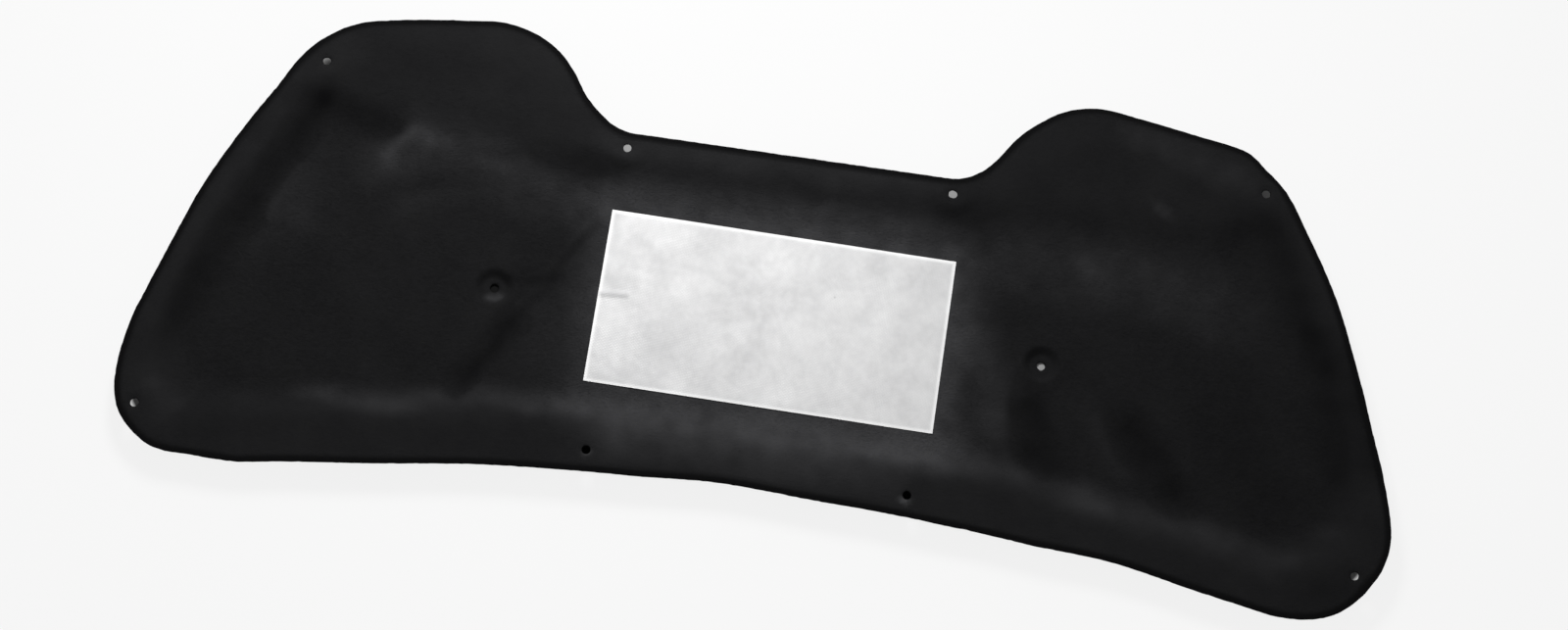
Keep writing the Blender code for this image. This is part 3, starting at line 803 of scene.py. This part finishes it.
def felt_arrays(settings):
    """Vertices, faces of the skins and of the walls, and the marks that the felt's finish reads."""
    half, half_faces = half_plan(settings.mesh_step)
    top, under, to_outline = moulded(half)
    plan, faces, source = both_halves(half, half_faces)
    points = plan - (0.0, MIDDLE_Y)
    to_outline = to_outline[source]
    firm = firmness(points, to_outline)
    front = smooth((points[:, 1] - SOFTEST_FROM_Y) / (SOFTEST_TO_Y - SOFTEST_FROM_Y))
    top, under = (softened(each[source], faces, firm, front) for each in (top, under))
    points = points + hand_cut(points, to_outline)
    thickness = top - under
    pressed = 1.0 - np.clip((thickness - PRESSED_FELT) / (FELT - PRESSED_FELT), 0.0, 1.0)

    soft = (1.0 - PRESSED_CALM * pressed) * smooth(beyond_patch(points) / PANEL_MARGIN)
    uneven = lumps(points, settings.lump_size, 1.0)
    uneven = uneven + FINE_LUMPS * lumps(points, settings.lump_size / FINER, 2.0)
    nap = lumps(points, NAP_STEPS * settings.mesh_step, 3.0)
    folds = near_lines(HAND_FOLDS, points, FOLD_ENDS) / PER_METRE
    top = top + soft * (settings.unevenness * uneven + settings.nap_depth * nap + folds)
    under = under + HOOD_SIDE_LUMPS * settings.unevenness * (1.0 - pressed) * (uneven + 1.0)

    edges = cut_edges(faces)
    outward = np.zeros_like(points)
    along = points[edges[:, 1]] - points[edges[:, 0]]
    for end in (0, 1):
        np.add.at(outward, edges[:, end], np.column_stack([along[:, 1], -along[:, 0]]))
    rim = np.unique(edges)
    outward[rim] /= np.linalg.norm(outward[rim], axis=1)[:, None]
    waves, nicks = lumps(points[rim], FRAY_WAVE, 4.0), lumps(points[rim], FRAY_NICK, 5.0)
    fray = settings.edge_fray * (waves + FRAY_NICK_SHARE * nicks)
    shifted = points.copy()
    shifted[rim] += outward[rim] * fray[:, None]

    columns = [np.column_stack([shifted, top]), np.column_stack([shifted, under])]
    rows = [np.arange(len(points))]
    for number, share in enumerate(WALL_ROWS):
        row = np.full(len(points), -1)
        row[rim] = 2 * len(points) + number * len(rim) + np.arange(len(rim))
        rows.append(row)
        ragged = settings.edge_fray * lumps(points[rim], FRAY_RAG, 6.0 + number)
        out = EDGE_BULGE * 4.0 * share * (1.0 - share) + ragged
        height = top[rim] + share * (under[rim] - top[rim])
        columns.append(np.column_stack([shifted[rim] + outward[rim] * out[:, None], height]))
    rows.append(len(points) + np.arange(len(points)))
    walls = []
    for upper, lower in zip(rows, rows[1:]):
        a, b = edges.T
        walls.append(np.column_stack([upper[b], upper[a], lower[a], lower[b]]))
    vertices = np.vstack(columns)
    skins = np.vstack([faces, faces[:, ::-1] + len(points)])

    others = len(vertices) - len(points)
    # Dark band along the cut edge: partly squeezed felt, partly painted shade
    edge_shade = EDGE_SHADE * fall(to_outline / EDGE_SHADE_WIDTH)
    marks = {"pressed": np.concatenate([pressed, pressed, np.ones(others - len(points))]),
             "painted_shading": np.concatenate([painted_light_and_shade_at(points) - edge_shade, np.zeros(others)])}
    return vertices, skins, np.vstack(walls), marks


def add_mesh(name, vertices, faces, material):
    """A new object from plain arrays, with its place in its mesh."""
    data = bpy.data.meshes.new(name)
    data.from_pydata(vertices.tolist(), [], faces)
    data.shade_smooth()
    data.set_sharp_from_angle(angle=SHARP_ANGLE)
    data.materials.append(material)
    made = bpy.data.objects.new(name, data)
    bpy.context.scene.collection.objects.link(made)
    return made


def add_value(data, name, values):
    """Keeps one value for each vertex, for the material to read."""
    data.attributes.new(name, "FLOAT", "POINT").data.foreach_set("value", values.astype(np.float32))


def build_felt(settings):
    vertices, skins, walls, marks = felt_arrays(settings)
    felt = add_mesh("moulded_felt", vertices, skins.tolist() + walls.tolist(), felt_finish(settings))
    felt.data.materials.append(cut_felt_finish(settings))
    finishes = np.zeros(len(felt.data.polygons), int)
    finishes[len(skins):] = 1
    felt.data.polygons.foreach_set("material_index", finishes)
    for name, values in marks.items():
        add_value(felt.data, name, values)
    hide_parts("felt_pad")
    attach(felt, "root")


# Foil patch

def patch_height(points, settings):
    """How far the laid sheet stands over its glue at each point, from soft waves and one pinched
    crease, and the shares of hem and crease there."""
    waves = lumps(points, WAVE_SIZE, 11.0) + RIPPLE_SHARE * lumps(points, RIPPLE_SIZE, 12.0)
    crease = fall(nearest_on(np.array(PATCH_CREASE), points)[0] / CREASE_REACH)
    to_edge = ((PATCH_SIZE.x / 2, PATCH_SIZE.y / 2) - np.abs(points - PATCH_MIDDLE)).min(axis=1)
    hem = fall(to_edge / PATCH_HEM)
    height = settings.waviness * (waves + WAVE_LIFT) * (1.0 - HEM_CALM * hem)
    return height + settings.crease_rise * crease, hem, crease


def build_patch(settings):
    columns, rows = round(PATCH_SIZE.x / PATCH_GRID), round(PATCH_SIZE.y / PATCH_GRID)
    bpy.ops.object.select_all(action="DESELECT")
    bpy.ops.mesh.primitive_grid_add(x_subdivisions=columns, y_subdivisions=rows, size=1.0)
    patch = bpy.context.object
    patch.name = patch.data.name = "foil_cloth"
    middle = Matrix.Translation((*PATCH_MIDDLE, 0.0))
    patch.data.transform(middle @ Matrix.Diagonal((*PATCH_SIZE, 1.0)))
    points = np.array([vertex.co[:2] for vertex in patch.data.vertices])
    height, hem, crease = patch_height(points, settings)
    for vertex, rise in zip(patch.data.vertices, height):
        vertex.co.z = PATCH_LOW.z + rise
    patch.data.transform(middle @ Matrix.Rotation(PATCH_TURN, 4, "Z") @ middle.inverted())
    sheet = patch.modifiers.new("sheet", "SOLIDIFY")
    sheet.thickness = PATCH_SHEET
    sheet.offset = 1.0
    bpy.ops.object.modifier_apply(modifier="sheet")
    patch.data.shade_smooth()
    patch.data.set_sharp_from_angle(angle=SHARP_ANGLE)
    add_value(patch.data, "hem", np.tile(hem, 2))
    add_value(patch.data, "crease", np.tile(crease, 2))
    patch.data.materials.append(foil_finish(settings))
    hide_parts("foil_patch")
    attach(patch, "root")


# Finishes

class Tree:
    """Short ways to add and join the nodes of one shader tree."""

    def __init__(self, tree):
        self.tree = tree

    def feed(self, socket, value):
        if isinstance(value, bpy.types.NodeSocket):
            self.tree.links.new(value, socket)
        else:
            socket.default_value = value

    def add(self, kind, inputs=None, **settings):
        node = self.tree.nodes.new(kind)
        for name, value in settings.items():
            setattr(node, name, value)
        for name, value in (inputs or {}).items():
            self.feed(node.inputs[name], value)
        return node

    def calc(self, operation, *values):
        """One Math node's result."""
        return self.add("ShaderNodeMath", dict(enumerate(values)), operation=operation).outputs[0]

    def times(self, first, second):
        return self.calc("MULTIPLY", first, second)

    def ramp(self, value, low, high, to_low=0.0, to_high=1.0):
        """A value of the span from low to high, spread over another span and kept in it."""
        inputs = {"Value": value, "From Min": low, "From Max": high, "To Min": to_low, "To Max": to_high}
        return self.add("ShaderNodeMapRange", inputs).outputs["Result"]

    def blend(self, share, first, second):
        """A colour between two colours."""
        return self.add("ShaderNodeMix", {0: share, 6: first, 7: second}, data_type="RGBA").outputs[2]

    def noise(self, vector, scale, detail, roughness):
        inputs = {"Vector": vector, "Scale": scale, "Detail": detail, "Roughness": roughness}
        return self.add("ShaderNodeTexNoise", inputs).outputs["Fac"]

    def value_of(self, name):
        """A value that the mesh keeps for each vertex."""
        return self.add("ShaderNodeAttribute", attribute_name=name).outputs["Fac"]

    def use(self, group, **inputs):
        node = self.add("ShaderNodeGroup", node_tree=group)
        for name, value in inputs.items():
            self.feed(node.inputs[name], value)
        return node.outputs


def new_group(name, inputs, outputs):
    """An empty node group with its sockets, as (Tree, its inputs, its output node)."""
    group = bpy.data.node_groups.new(name, "ShaderNodeTree")
    for socket, default in inputs.items():
        kind = "NodeSocketVector" if default is None else "NodeSocketFloat"
        made = group.interface.new_socket(name=socket, in_out="INPUT", socket_type=kind)
        if default is not None:
            made.default_value = default
    for socket in outputs:
        group.interface.new_socket(name=socket, in_out="OUTPUT", socket_type="NodeSocketFloat")
    tree = Tree(group)
    return tree, tree.add("NodeGroupInput").outputs, tree.add("NodeGroupOutput")


@cache
def needled_fibres():
    """Crossing fibres of needled felt, and the small tufts that the needles leave."""
    tree, given, result = new_group("Needled Fibres", {"Vector": None, "Size": 0.001}, ("Strands", "Tufts"))
    scale = tree.calc("DIVIDE", 1.0, given["Size"])
    strands = 0.0
    for turn in FIBRE_TURNS:
        turned = tree.add("ShaderNodeMapping", {"Vector": given["Vector"]})
        turned.inputs["Rotation"].default_value = (0.0, 0.0, turn)
        turned.inputs["Scale"].default_value = (FIBRE_DRAW, 1.0, 1.0)
        wander = tree.noise(turned.outputs["Vector"], scale, detail=1.5, roughness=0.5)
        apart = tree.calc("ABSOLUTE", tree.calc("SUBTRACT", wander, 0.5))
        strands = tree.calc("MAXIMUM", strands, tree.ramp(apart, 0.0, FIBRE_WIDTH, 1.0, 0.0))
    tufts = tree.noise(given["Vector"], tree.times(scale, TUFT_SCALE), detail=3.0, roughness=0.6)
    tree.feed(result.inputs["Strands"], strands)
    tree.feed(result.inputs["Tufts"], tree.ramp(tufts, *TUFT_SPAN))
    return tree.tree


@cache
def soft_mottling():
    """Broad uneven patches, finer ones inside them."""
    tree, given, result = new_group("Soft Mottling", {"Vector": None, "Size": 0.05}, ("Mottle",))
    scale = tree.calc("DIVIDE", 1.0, given["Size"])
    broad = tree.noise(given["Vector"], scale, detail=3.0, roughness=0.55)
    tree.feed(result.inputs["Mottle"], tree.ramp(broad, *MOTTLE_SPAN))
    return tree.tree


@cache
def settled_lint():
    """Sparse specks of lint and dust, as a mask."""
    sockets = {"Vector": None, "Size": 0.004, "Amount": 0.1}
    tree, given, result = new_group("Settled Lint", sockets, ("Specks",))
    cells = tree.add("ShaderNodeTexVoronoi", {"Vector": given["Vector"]})
    tree.feed(cells.inputs["Scale"], tree.calc("DIVIDE", 1.0, given["Size"]))
    chosen = tree.calc("LESS_THAN", cells.outputs["Color"], given["Amount"])
    speck = tree.ramp(cells.outputs["Distance"], *SPECK_SPAN, 1.0, 0.0)
    tree.feed(result.inputs["Specks"], tree.times(chosen, speck))
    return tree.tree


@cache
def cloth_weave():
    """Plain weave of flat threads, as its height and the share of the threads that run across."""
    tree, given, result = new_group("Cloth Weave", {"Vector": None, "Pitch": 0.0016}, ("Height", "Across"))
    split = tree.add("ShaderNodeSeparateXYZ", {"Vector": given["Vector"]})
    turn = tree.calc("DIVIDE", math.pi, given["Pitch"])
    along, across = (tree.times(split.outputs[axis], turn) for axis in ("X", "Y"))
    waves = [tree.calc("ABSOLUTE", tree.calc("SINE", each)) for each in (along, across)]
    checks = tree.times(tree.calc("COSINE", along), tree.calc("COSINE", across))
    over = tree.ramp(checks, *THREAD_SPAN)
    height = tree.calc("ADD", tree.times(waves[0], over),
                       tree.times(waves[1], tree.calc("SUBTRACT", 1.0, over)))
    tree.feed(result.inputs["Height"], height)
    tree.feed(result.inputs["Across"], over)
    return tree.tree


def new_finish(name):
    """A new material, as (material, Tree, its Principled shader)."""
    made = bpy.data.materials.new(name)
    made.use_nodes = True
    tree = Tree(made.node_tree)
    return made, tree, made.node_tree.nodes["Principled BSDF"]


def rgba(colour):
    return (*colour, 1.0)


def felt_finish(settings):
    """Black needled felt: fibres, mottling, painted light and shade, and lint, smoother where pressed."""
    made, tree, shader = new_finish("black_needled_felt")
    place = tree.add("ShaderNodeTexCoord").outputs["Object"]
    fibres = tree.use(needled_fibres(), Vector=place, Size=settings.fibre_size)
    mottle = tree.use(soft_mottling(), Vector=place, Size=settings.mottle_size)["Mottle"]
    specks = tree.use(settled_lint(), Vector=place, Size=LINT_GAP, Amount=settings.lint)["Specks"]
    pressed, painted_shading = tree.value_of("pressed"), tree.value_of("painted_shading")
    body = tree.blend(mottle, rgba(settings.colour), rgba(settings.faded_colour))
    seen = tree.ramp(pressed, 0.0, 1.0, STRANDS_SEEN, PRESSED_STRANDS_SEEN)
    strands = tree.times(fibres["Strands"], seen)
    body = tree.blend(strands, body, rgba(settings.fibre_colour))
    # Painted light, broken up by the mottling, then painted shade
    uneven = tree.ramp(mottle, *PAINTED_LIGHT_SPAN, PAINTED_LIGHT_LEAST, 1.0)
    lit = tree.times(tree.ramp(painted_shading, 0.0, 1.0), uneven)
    body = tree.blend(lit, body, rgba(settings.painted_light_colour))
    body = tree.blend(tree.ramp(painted_shading, 0.0, -1.0), body, rgba(settings.painted_shade_colour))
    # Dark band of the squeezed cut edge, partly painted shade
    body = tree.blend(tree.ramp(painted_shading, *EDGE_SHADE_SPAN), body, rgba(settings.edge_shade_colour))
    body = tree.blend(specks, body, rgba(settings.lint_colour))
    tree.feed(shader.inputs["Base Color"], body)
    roughness = tree.ramp(pressed, 0.0, 1.0, FELT_ROUGHNESS, PRESSED_ROUGHNESS)
    tree.feed(shader.inputs["Roughness"], roughness)
    depth = tree.ramp(pressed, 0.0, 1.0, 1.0, PRESSED_NAP)
    nap = tree.calc("ADD", fibres["Strands"], tree.times(fibres["Tufts"], TUFT_HEIGHT))
    height = tree.times(nap, depth)
    bump = tree.add("ShaderNodeBump", {"Height": height, "Distance": settings.fibre_depth, "Strength": 1.0})
    tree.feed(shader.inputs["Normal"], bump.outputs["Normal"])
    shader.inputs["Specular IOR Level"].default_value = FELT_SHINE
    shader.inputs["Sheen Weight"].default_value = settings.fuzz
    shader.inputs["Sheen Roughness"].default_value = FUZZ_ROUGHNESS
    shader.inputs["Sheen Tint"].default_value = rgba(settings.painted_light_colour)
    return made


def cut_felt_finish(settings):
    """The die-cut edge, painted darker than the felt as shade where light sinks in between the cut fibres.
    """
    made, tree, shader = new_finish("cut_felt_edge")
    place = tree.add("ShaderNodeTexCoord").outputs["Object"]
    fibres = tree.use(needled_fibres(), Vector=place, Size=settings.fibre_size / 2)
    ends = tree.times(fibres["Strands"], CUT_ENDS_SEEN)
    cut = tree.blend(ends, rgba(settings.edge_shade_colour), rgba(settings.colour))
    tree.feed(shader.inputs["Base Color"], cut)
    bump = tree.add("ShaderNodeBump", {"Height": fibres["Strands"], "Distance": settings.fibre_depth})
    tree.feed(shader.inputs["Normal"], bump.outputs["Normal"])
    shader.inputs["Roughness"].default_value = FELT_ROUGHNESS
    shader.inputs["Specular IOR Level"].default_value = FELT_SHINE
    return made


def foil_finish(settings):
    """Foil on glass cloth: weave showing through, soft mottling, a brighter hem and painted shade in the
    crease.
    """
    made, tree, shader = new_finish("foil_glass_cloth")
    place = tree.add("ShaderNodeTexCoord").outputs["Object"]
    weave = tree.use(cloth_weave(), Vector=place, Pitch=settings.weave_pitch)
    mottle = tree.use(soft_mottling(), Vector=place, Size=FOIL_AREA)["Mottle"]
    small = tree.use(soft_mottling(), Vector=place, Size=SMALL_FOIL_AREA)["Mottle"]
    specks = tree.use(settled_lint(), Vector=place, Size=SPECK_GAP, Amount=SPECK_AMOUNT)["Specks"]
    uneven = tree.calc("ADD", tree.times(mottle, 1.0 - SMALL_AREA_SHARE),
                       tree.times(small, SMALL_AREA_SHARE))
    body = tree.blend(uneven, rgba(settings.shade_colour), rgba(settings.colour))
    across = tree.times(weave["Across"], WEAVE_SEEN)
    body = tree.blend(across, body, rgba(settings.shade_colour))
    hem = tree.ramp(tree.value_of("hem"), *HEM_SPAN, 0.0, HEM_SEEN)
    body = tree.blend(hem, body, rgba(settings.hem_colour))
    # Painted shade in the pinched crease
    crease = tree.times(tree.value_of("crease"), CREASE_SHADE_SEEN)
    body = tree.blend(crease, body, rgba(settings.speck_and_crease_shade_colour))
    body = tree.blend(tree.times(specks, SPECKS_SEEN), body, rgba(settings.speck_and_crease_shade_colour))
    tree.feed(shader.inputs["Base Color"], body)
    tree.feed(shader.inputs["Roughness"], tree.ramp(uneven, 0.0, 1.0, DULL_ROUGHNESS, BRIGHT_ROUGHNESS))
    shader.inputs["Metallic"].default_value = settings.metallic
    bump = tree.add("ShaderNodeBump", {"Height": weave["Height"], "Distance": settings.weave_depth})
    tree.feed(shader.inputs["Normal"], bump.outputs["Normal"])
    return made


# Stage

def white_to_camera(tree, share):
    """Share of the plain white that camera, mirror and glass rays see."""
    path = tree.add("ShaderNodeLightPath").outputs
    seen = tree.calc("MAXIMUM", path["Is Camera Ray"], path["Is Glossy Ray"])
    return tree.times(tree.calc("MAXIMUM", seen, path["Is Transmission Ray"]), share)


def pad_shade(tree):
    """1 on the floor that lies deep in the shade of the rear flange or the left dimple, else 0."""
    place = tree.add("ShaderNodeTexCoord").outputs["Object"]
    split = tree.add("ShaderNodeSeparateXYZ", {"Vector": place}).outputs
    sweep = tree.times(tree.times(split["X"], split["X"]), REAR_SWEEP / HALF_WIDTH ** 2)
    inward = tree.calc("ADD", tree.calc("ADD", split["Y"], MIDDLE_Y), sweep)
    across = tree.calc("ABSOLUTE", split["X"])
    flange = tree.times(tree.ramp(inward, *FLANGE_SHADE_FADE_IN),
                        tree.ramp(inward, *FLANGE_SHADE_FADE_OUT, 1.0, 0.0))
    flange = tree.times(flange, tree.ramp(across, *FLANGE_SHADE_SIDE, 1.0, 0.0))
    hole = (-BODY_CLIP[0], BODY_CLIP[1] - MIDDLE_Y, 0.0)
    apart = tree.add("ShaderNodeVectorMath", {0: place, 1: hole}, operation="DISTANCE").outputs["Value"]
    return tree.calc("MAXIMUM", flange, tree.ramp(apart, *DIMPLE_SHADE_SIDE, 1.0, 0.0))


def floor_finish(settings):
    """White paper: mostly plain white to the camera, shadowed in the rest, with painted shade under the
    pad.
    """
    made, tree, shader = new_finish("white_floor")
    above = tree.calc("SUBTRACT", 1.0, tree.add("ShaderNodeNewGeometry").outputs["Backfacing"])
    shade = tree.times(pad_shade(tree), above)
    covered = tree.times(tree.value_of("covered"), above)
    # Painted shade below the pad, and painted deep shadow below the rear flange and the left dimple
    paper = tree.blend(covered, rgba([PAPER] * 3), rgba([COVERED_PAPER_SHADE] * 3))
    tree.feed(shader.inputs["Base Color"], tree.blend(shade, paper, rgba([SHADED_PAPER] * 3)))
    tree.feed(shader.inputs["Specular IOR Level"], tree.ramp(shade, 0.0, 1.0, PAPER_SHINE, 0.0))
    shader.inputs["Roughness"].default_value = PAPER_ROUGHNESS
    glow = tree.add("ShaderNodeEmission", {"Color": WHITE, "Strength": 1.0})
    white = tree.ramp(tree.calc("MAXIMUM", covered, shade), 0.0, 1.0, settings.floor_white, 0.0)
    mixed = tree.add("ShaderNodeMixShader", {0: white_to_camera(tree, white),
                                             1: shader.outputs[0], 2: glow.outputs[0]})
    output = made.node_tree.nodes["Material Output"]
    tree.feed(output.inputs["Surface"], mixed.outputs[0])
    return made


def build_floor(settings):
    """One wide sheet of paper, which keeps whether the pad covers it."""
    edge = spaced(OUTLINE, COVER_STEP)
    coords = [(x * FLOOR_SIZE / 2, y * FLOOR_SIZE / 2) for x, y in ((-1, -1), (1, -1), (1, 1), (-1, 1))]
    lines = [[0, 1, 2, 3]]
    for width in COVER_FADE:
        half = moved_inward(edge, width) + (0.0, COVER_FORWARD - MIDDLE_Y)
        loop = np.vstack([half, half[-2:0:-1] * (-1.0, 1.0)])
        lines.append(range(len(coords), len(coords) + len(loop)))
        coords += [tuple(point) for point in loop]
    edges = [pair for line in lines for pair in zip(line, [*line[1:], line[0]])]
    plan, faces = triangulated(coords, edges, 0)
    right = np.column_stack(in_right_half(plan - (0.0, COVER_FORWARD)))
    covered = inside(OUTLINE, right) & (nearest_on(OUTLINE, right)[0] > sum(COVER_FADE) / 2)
    vertices = np.column_stack([plan, np.full(len(plan), -FLOOR_GAP)])
    floor = add_mesh("floor", vertices, faces.tolist(), floor_finish(settings))
    add_value(floor.data, "covered", covered)


def build_world(settings):
    """Soft even fill from all round, plain white to the camera."""
    world = bpy.data.worlds.new("studio")
    world.use_nodes = True
    bpy.context.scene.world = world
    tree = Tree(world.node_tree)
    fill = world.node_tree.nodes["Background"]
    fill.inputs["Color"].default_value = WHITE
    fill.inputs["Strength"].default_value = settings.fill
    white = tree.add("ShaderNodeBackground", {"Color": WHITE, "Strength": 1.0})
    mixed = tree.add("ShaderNodeMixShader", {0: white_to_camera(tree, 1.0), 1: fill.outputs[0],
                                             2: white.outputs[0]})
    tree.feed(world.node_tree.nodes["World Output"].inputs["Surface"], mixed.outputs[0])


def build_lamp(name, place, aim, power, size):
    data = bpy.data.lights.new(name, "AREA")
    data.shape = "DISK"
    data.energy = power
    data.size = size
    lamp = bpy.data.objects.new(name, data)
    lamp.location = place
    lamp.rotation_euler = (Vector(aim) - Vector(place)).to_track_quat("-Z", "Y").to_euler()
    bpy.context.scene.collection.objects.link(lamp)


def build_camera(settings):
    """A camera on its long lens, raised over the pad and rolled a little."""
    elevation, azimuth, roll = settings.elevation, settings.azimuth, settings.roll
    back = Vector((math.sin(azimuth) * math.cos(elevation), -math.cos(azimuth) * math.cos(elevation),
                   math.sin(elevation)))
    right = Vector((math.cos(azimuth), math.sin(azimuth), 0.0))
    up = back.cross(right)
    across = right * math.cos(roll) + up * math.sin(roll)
    upward = up * math.cos(roll) - right * math.sin(roll)
    data = bpy.data.cameras.new("camera")
    data.lens = settings.lens
    data.sensor_width = SENSOR_WIDTH
    camera = bpy.data.objects.new("camera", data)
    turn = Matrix((across, upward, back)).transposed().to_4x4()
    camera.matrix_world = Matrix.Translation(Vector(settings.target) + back * settings.distance) @ turn
    bpy.context.scene.collection.objects.link(camera)
    bpy.context.scene.camera = camera


# Settings, operators and panel

def length_setting(name, description, default, **limits):
    return FloatProperty(name=name, description=description, default=default, unit="LENGTH", **limits)


def share_setting(name, description, default):
    return FloatProperty(name=name, description=description, default=default, subtype="FACTOR")


def angle_setting(name, description, default):
    return FloatProperty(name=name, description=description, default=default, subtype="ANGLE")


def colour_setting(name, description, default):
    return FloatVectorProperty(name=name, description=description, default=default, subtype="COLOR")


def place_setting(name, description, default):
    return FloatVectorProperty(name=name, description=description, default=default, subtype="XYZ",
                               unit="LENGTH")


class FeltSettings(PropertyGroup):
    """Sizes and colours of the felt."""

    mesh_step: length_setting("Mesh step", "Gap between the felt's surface points", 0.0037, min=0.002)
    unevenness: length_setting("Unevenness", "Height of the soft lumps in the felt", 0.0006)
    lump_size: length_setting("Lump size", "Width of the soft lumps in the felt", 0.055)
    nap_depth: length_setting("Nap depth", "Height of the finest modelled lumps", 0.00012)
    edge_fray: length_setting("Edge fray", "How far the cut edge wanders", 0.0004)
    fibre_size: length_setting("Fibre size", "Gap between fibres", 0.0011)
    fibre_depth: length_setting("Fibre depth", "Height of the fibres", 0.0003)
    mottle_size: length_setting("Mottle size", "Width of the lighter and darker areas", 0.06)
    lint: share_setting("Lint", "Share of the places that hold a speck of lint", 0.03)
    fuzz: share_setting("Fuzz", "Light that the nap catches at a low angle", 0.08)
    colour: colour_setting("Felt", "Colour of the felt", (0.0095, 0.0095, 0.0102))
    faded_colour: colour_setting("Faded felt", "Colour of its lighter areas", (0.0140, 0.0140, 0.0147))
    # Colour of the painted shade on the felt
    painted_shade_colour: colour_setting("Dark felt", "Colour of its darkest areas", (0.0030, 0.0030, 0.0033))
    # Colour of the squeezed cut edge with its painted shade
    edge_shade_colour: colour_setting("Felt edge", "Colour of its squeezed, cut edge", (0.0016, 0.0016, 0.0018))
    fibre_colour: colour_setting("Fibres", "Colour of the strands on top", (0.020, 0.020, 0.021))
    # Colour of the painted light on the felt, also the sheen's tint
    painted_light_colour: colour_setting("Lit felt", "Colour of rubbed areas", (0.062, 0.062, 0.065))
    lint_colour: colour_setting("Lint colour", "Colour of lint and dust", (0.16, 0.155, 0.15))


class PatchSettings(PropertyGroup):
    """Sizes and colours of the foil patch."""

    weave_pitch: length_setting("Weave pitch", "Gap between threads", 0.0016)
    weave_depth: length_setting("Weave depth", "Height of the threads", 0.00012)
    waviness: length_setting("Waviness", "Height of the soft waves in the sheet", 0.00018)
    crease_rise: length_setting("Crease rise", "Height of the pinched crease", 0.0007)
    metallic: share_setting("Metallic", "How much the foil shines through", 0.25)
    colour: colour_setting("Foil", "Colour of the foil", (0.71, 0.71, 0.71))
    shade_colour: colour_setting("Foil shade", "Colour of its duller areas", (0.59, 0.59, 0.595))
    hem_colour: colour_setting("Hem", "Colour of the pressed border", (0.92, 0.92, 0.92))
    # Colour of specks, and of the painted shade in the crease
    speck_and_crease_shade_colour: colour_setting("Specks", "Colour of marks on the foil", (0.35, 0.35, 0.36))


class StageSettings(PropertyGroup):
    """Camera, lamp, even light and floor."""

    lens: FloatProperty(name="Lens", description="Focal length", default=70.0, unit="CAMERA")
    distance: length_setting("Distance", "From the camera to the pad", 3.036)
    elevation: angle_setting("Elevation", "Height of the camera over the horizon", math.radians(74.0))
    azimuth: angle_setting("Azimuth", "Turn of the camera round the pad", math.radians(0.89))
    roll: angle_setting("Roll", "Tilt of the picture", math.radians(7.24))
    target: place_setting("Target", "The point that the camera looks at", (0.0146, -0.0164, FLANGE_TOP))
    key_power: FloatProperty(name="Key power", description="Power of the main lamp",
                             default=17.5, unit="POWER")
    key_size: length_setting("Key size", "Width of the main lamp", 0.5)
    key_place: place_setting("Key place", "Where the main lamp hangs", (-0.30, 0.85, 1.20))
    fill: FloatProperty(name="Fill", description="Strength of the even light from all round",
                        default=0.20, min=0.0)
    floor_white: share_setting("Floor white", "Share of plain white in the floor", 0.85)


class PAD_OT_mould_felt(Operator):
    """Mould the felt pad with its relief, clip holes and cut edge"""

    bl_idname = "pad.mould_felt"
    bl_label = "Mould Felt"

    def execute(self, context):
        build_felt(context.scene.pad_felt)
        return {"FINISHED"}


class PAD_OT_lay_patch(Operator):
    """Lay the foil patch on the raised panel"""

    bl_idname = "pad.lay_patch"
    bl_label = "Lay Patch"

    def execute(self, context):
        if "moulded_felt" not in bpy.data.objects:
            raise RuntimeError("mould the felt first: the patch lies on it")
        build_patch(context.scene.pad_patch)
        return {"FINISHED"}


class PAD_OT_set_stage(Operator):
    """Set the floor, the lamp, the white surroundings and the camera"""

    bl_idname = "pad.set_stage"
    bl_label = "Set Stage"

    def execute(self, context):
        settings = context.scene.pad_stage
        context.scene.view_settings.view_transform = "Standard"
        build_floor(settings)
        build_world(settings)
        build_lamp("key", settings.key_place, (0.0, 0.0, 0.0), settings.key_power, settings.key_size)
        build_camera(settings)
        return {"FINISHED"}


class PAD_PT_hood_pad(Panel):
    """A button and the settings for the felt, the patch and the stage"""

    bl_idname = "PAD_PT_hood_pad"
    bl_label = "Hood Insulation Pad"
    bl_space_type = "VIEW_3D"
    bl_region_type = "UI"
    bl_category = "Hood Pad"

    def draw(self, context):
        for operator, settings in ((PAD_OT_mould_felt, context.scene.pad_felt),
                                   (PAD_OT_lay_patch, context.scene.pad_patch),
                                   (PAD_OT_set_stage, context.scene.pad_stage)):
            box = self.layout.box()
            box.operator(operator.bl_idname)
            for name in settings.__annotations__:
                box.prop(settings, name)


CLASSES = (FeltSettings, PatchSettings, StageSettings, PAD_OT_mould_felt, PAD_OT_lay_patch,
           PAD_OT_set_stage, PAD_PT_hood_pad)


def register():
    for each in CLASSES:
        bpy.utils.register_class(each)
    bpy.types.Scene.pad_felt = PointerProperty(type=FeltSettings)
    bpy.types.Scene.pad_patch = PointerProperty(type=PatchSettings)
    bpy.types.Scene.pad_stage = PointerProperty(type=StageSettings)


def unregister():
    del bpy.types.Scene.pad_felt
    del bpy.types.Scene.pad_patch
    del bpy.types.Scene.pad_stage
    for each in reversed(CLASSES):
        bpy.utils.unregister_class(each)


def main():
    register()
    bpy.ops.pad.mould_felt()
    bpy.ops.pad.lay_patch()
    bpy.ops.pad.set_stage()


if __name__ == "__main__":
    main()
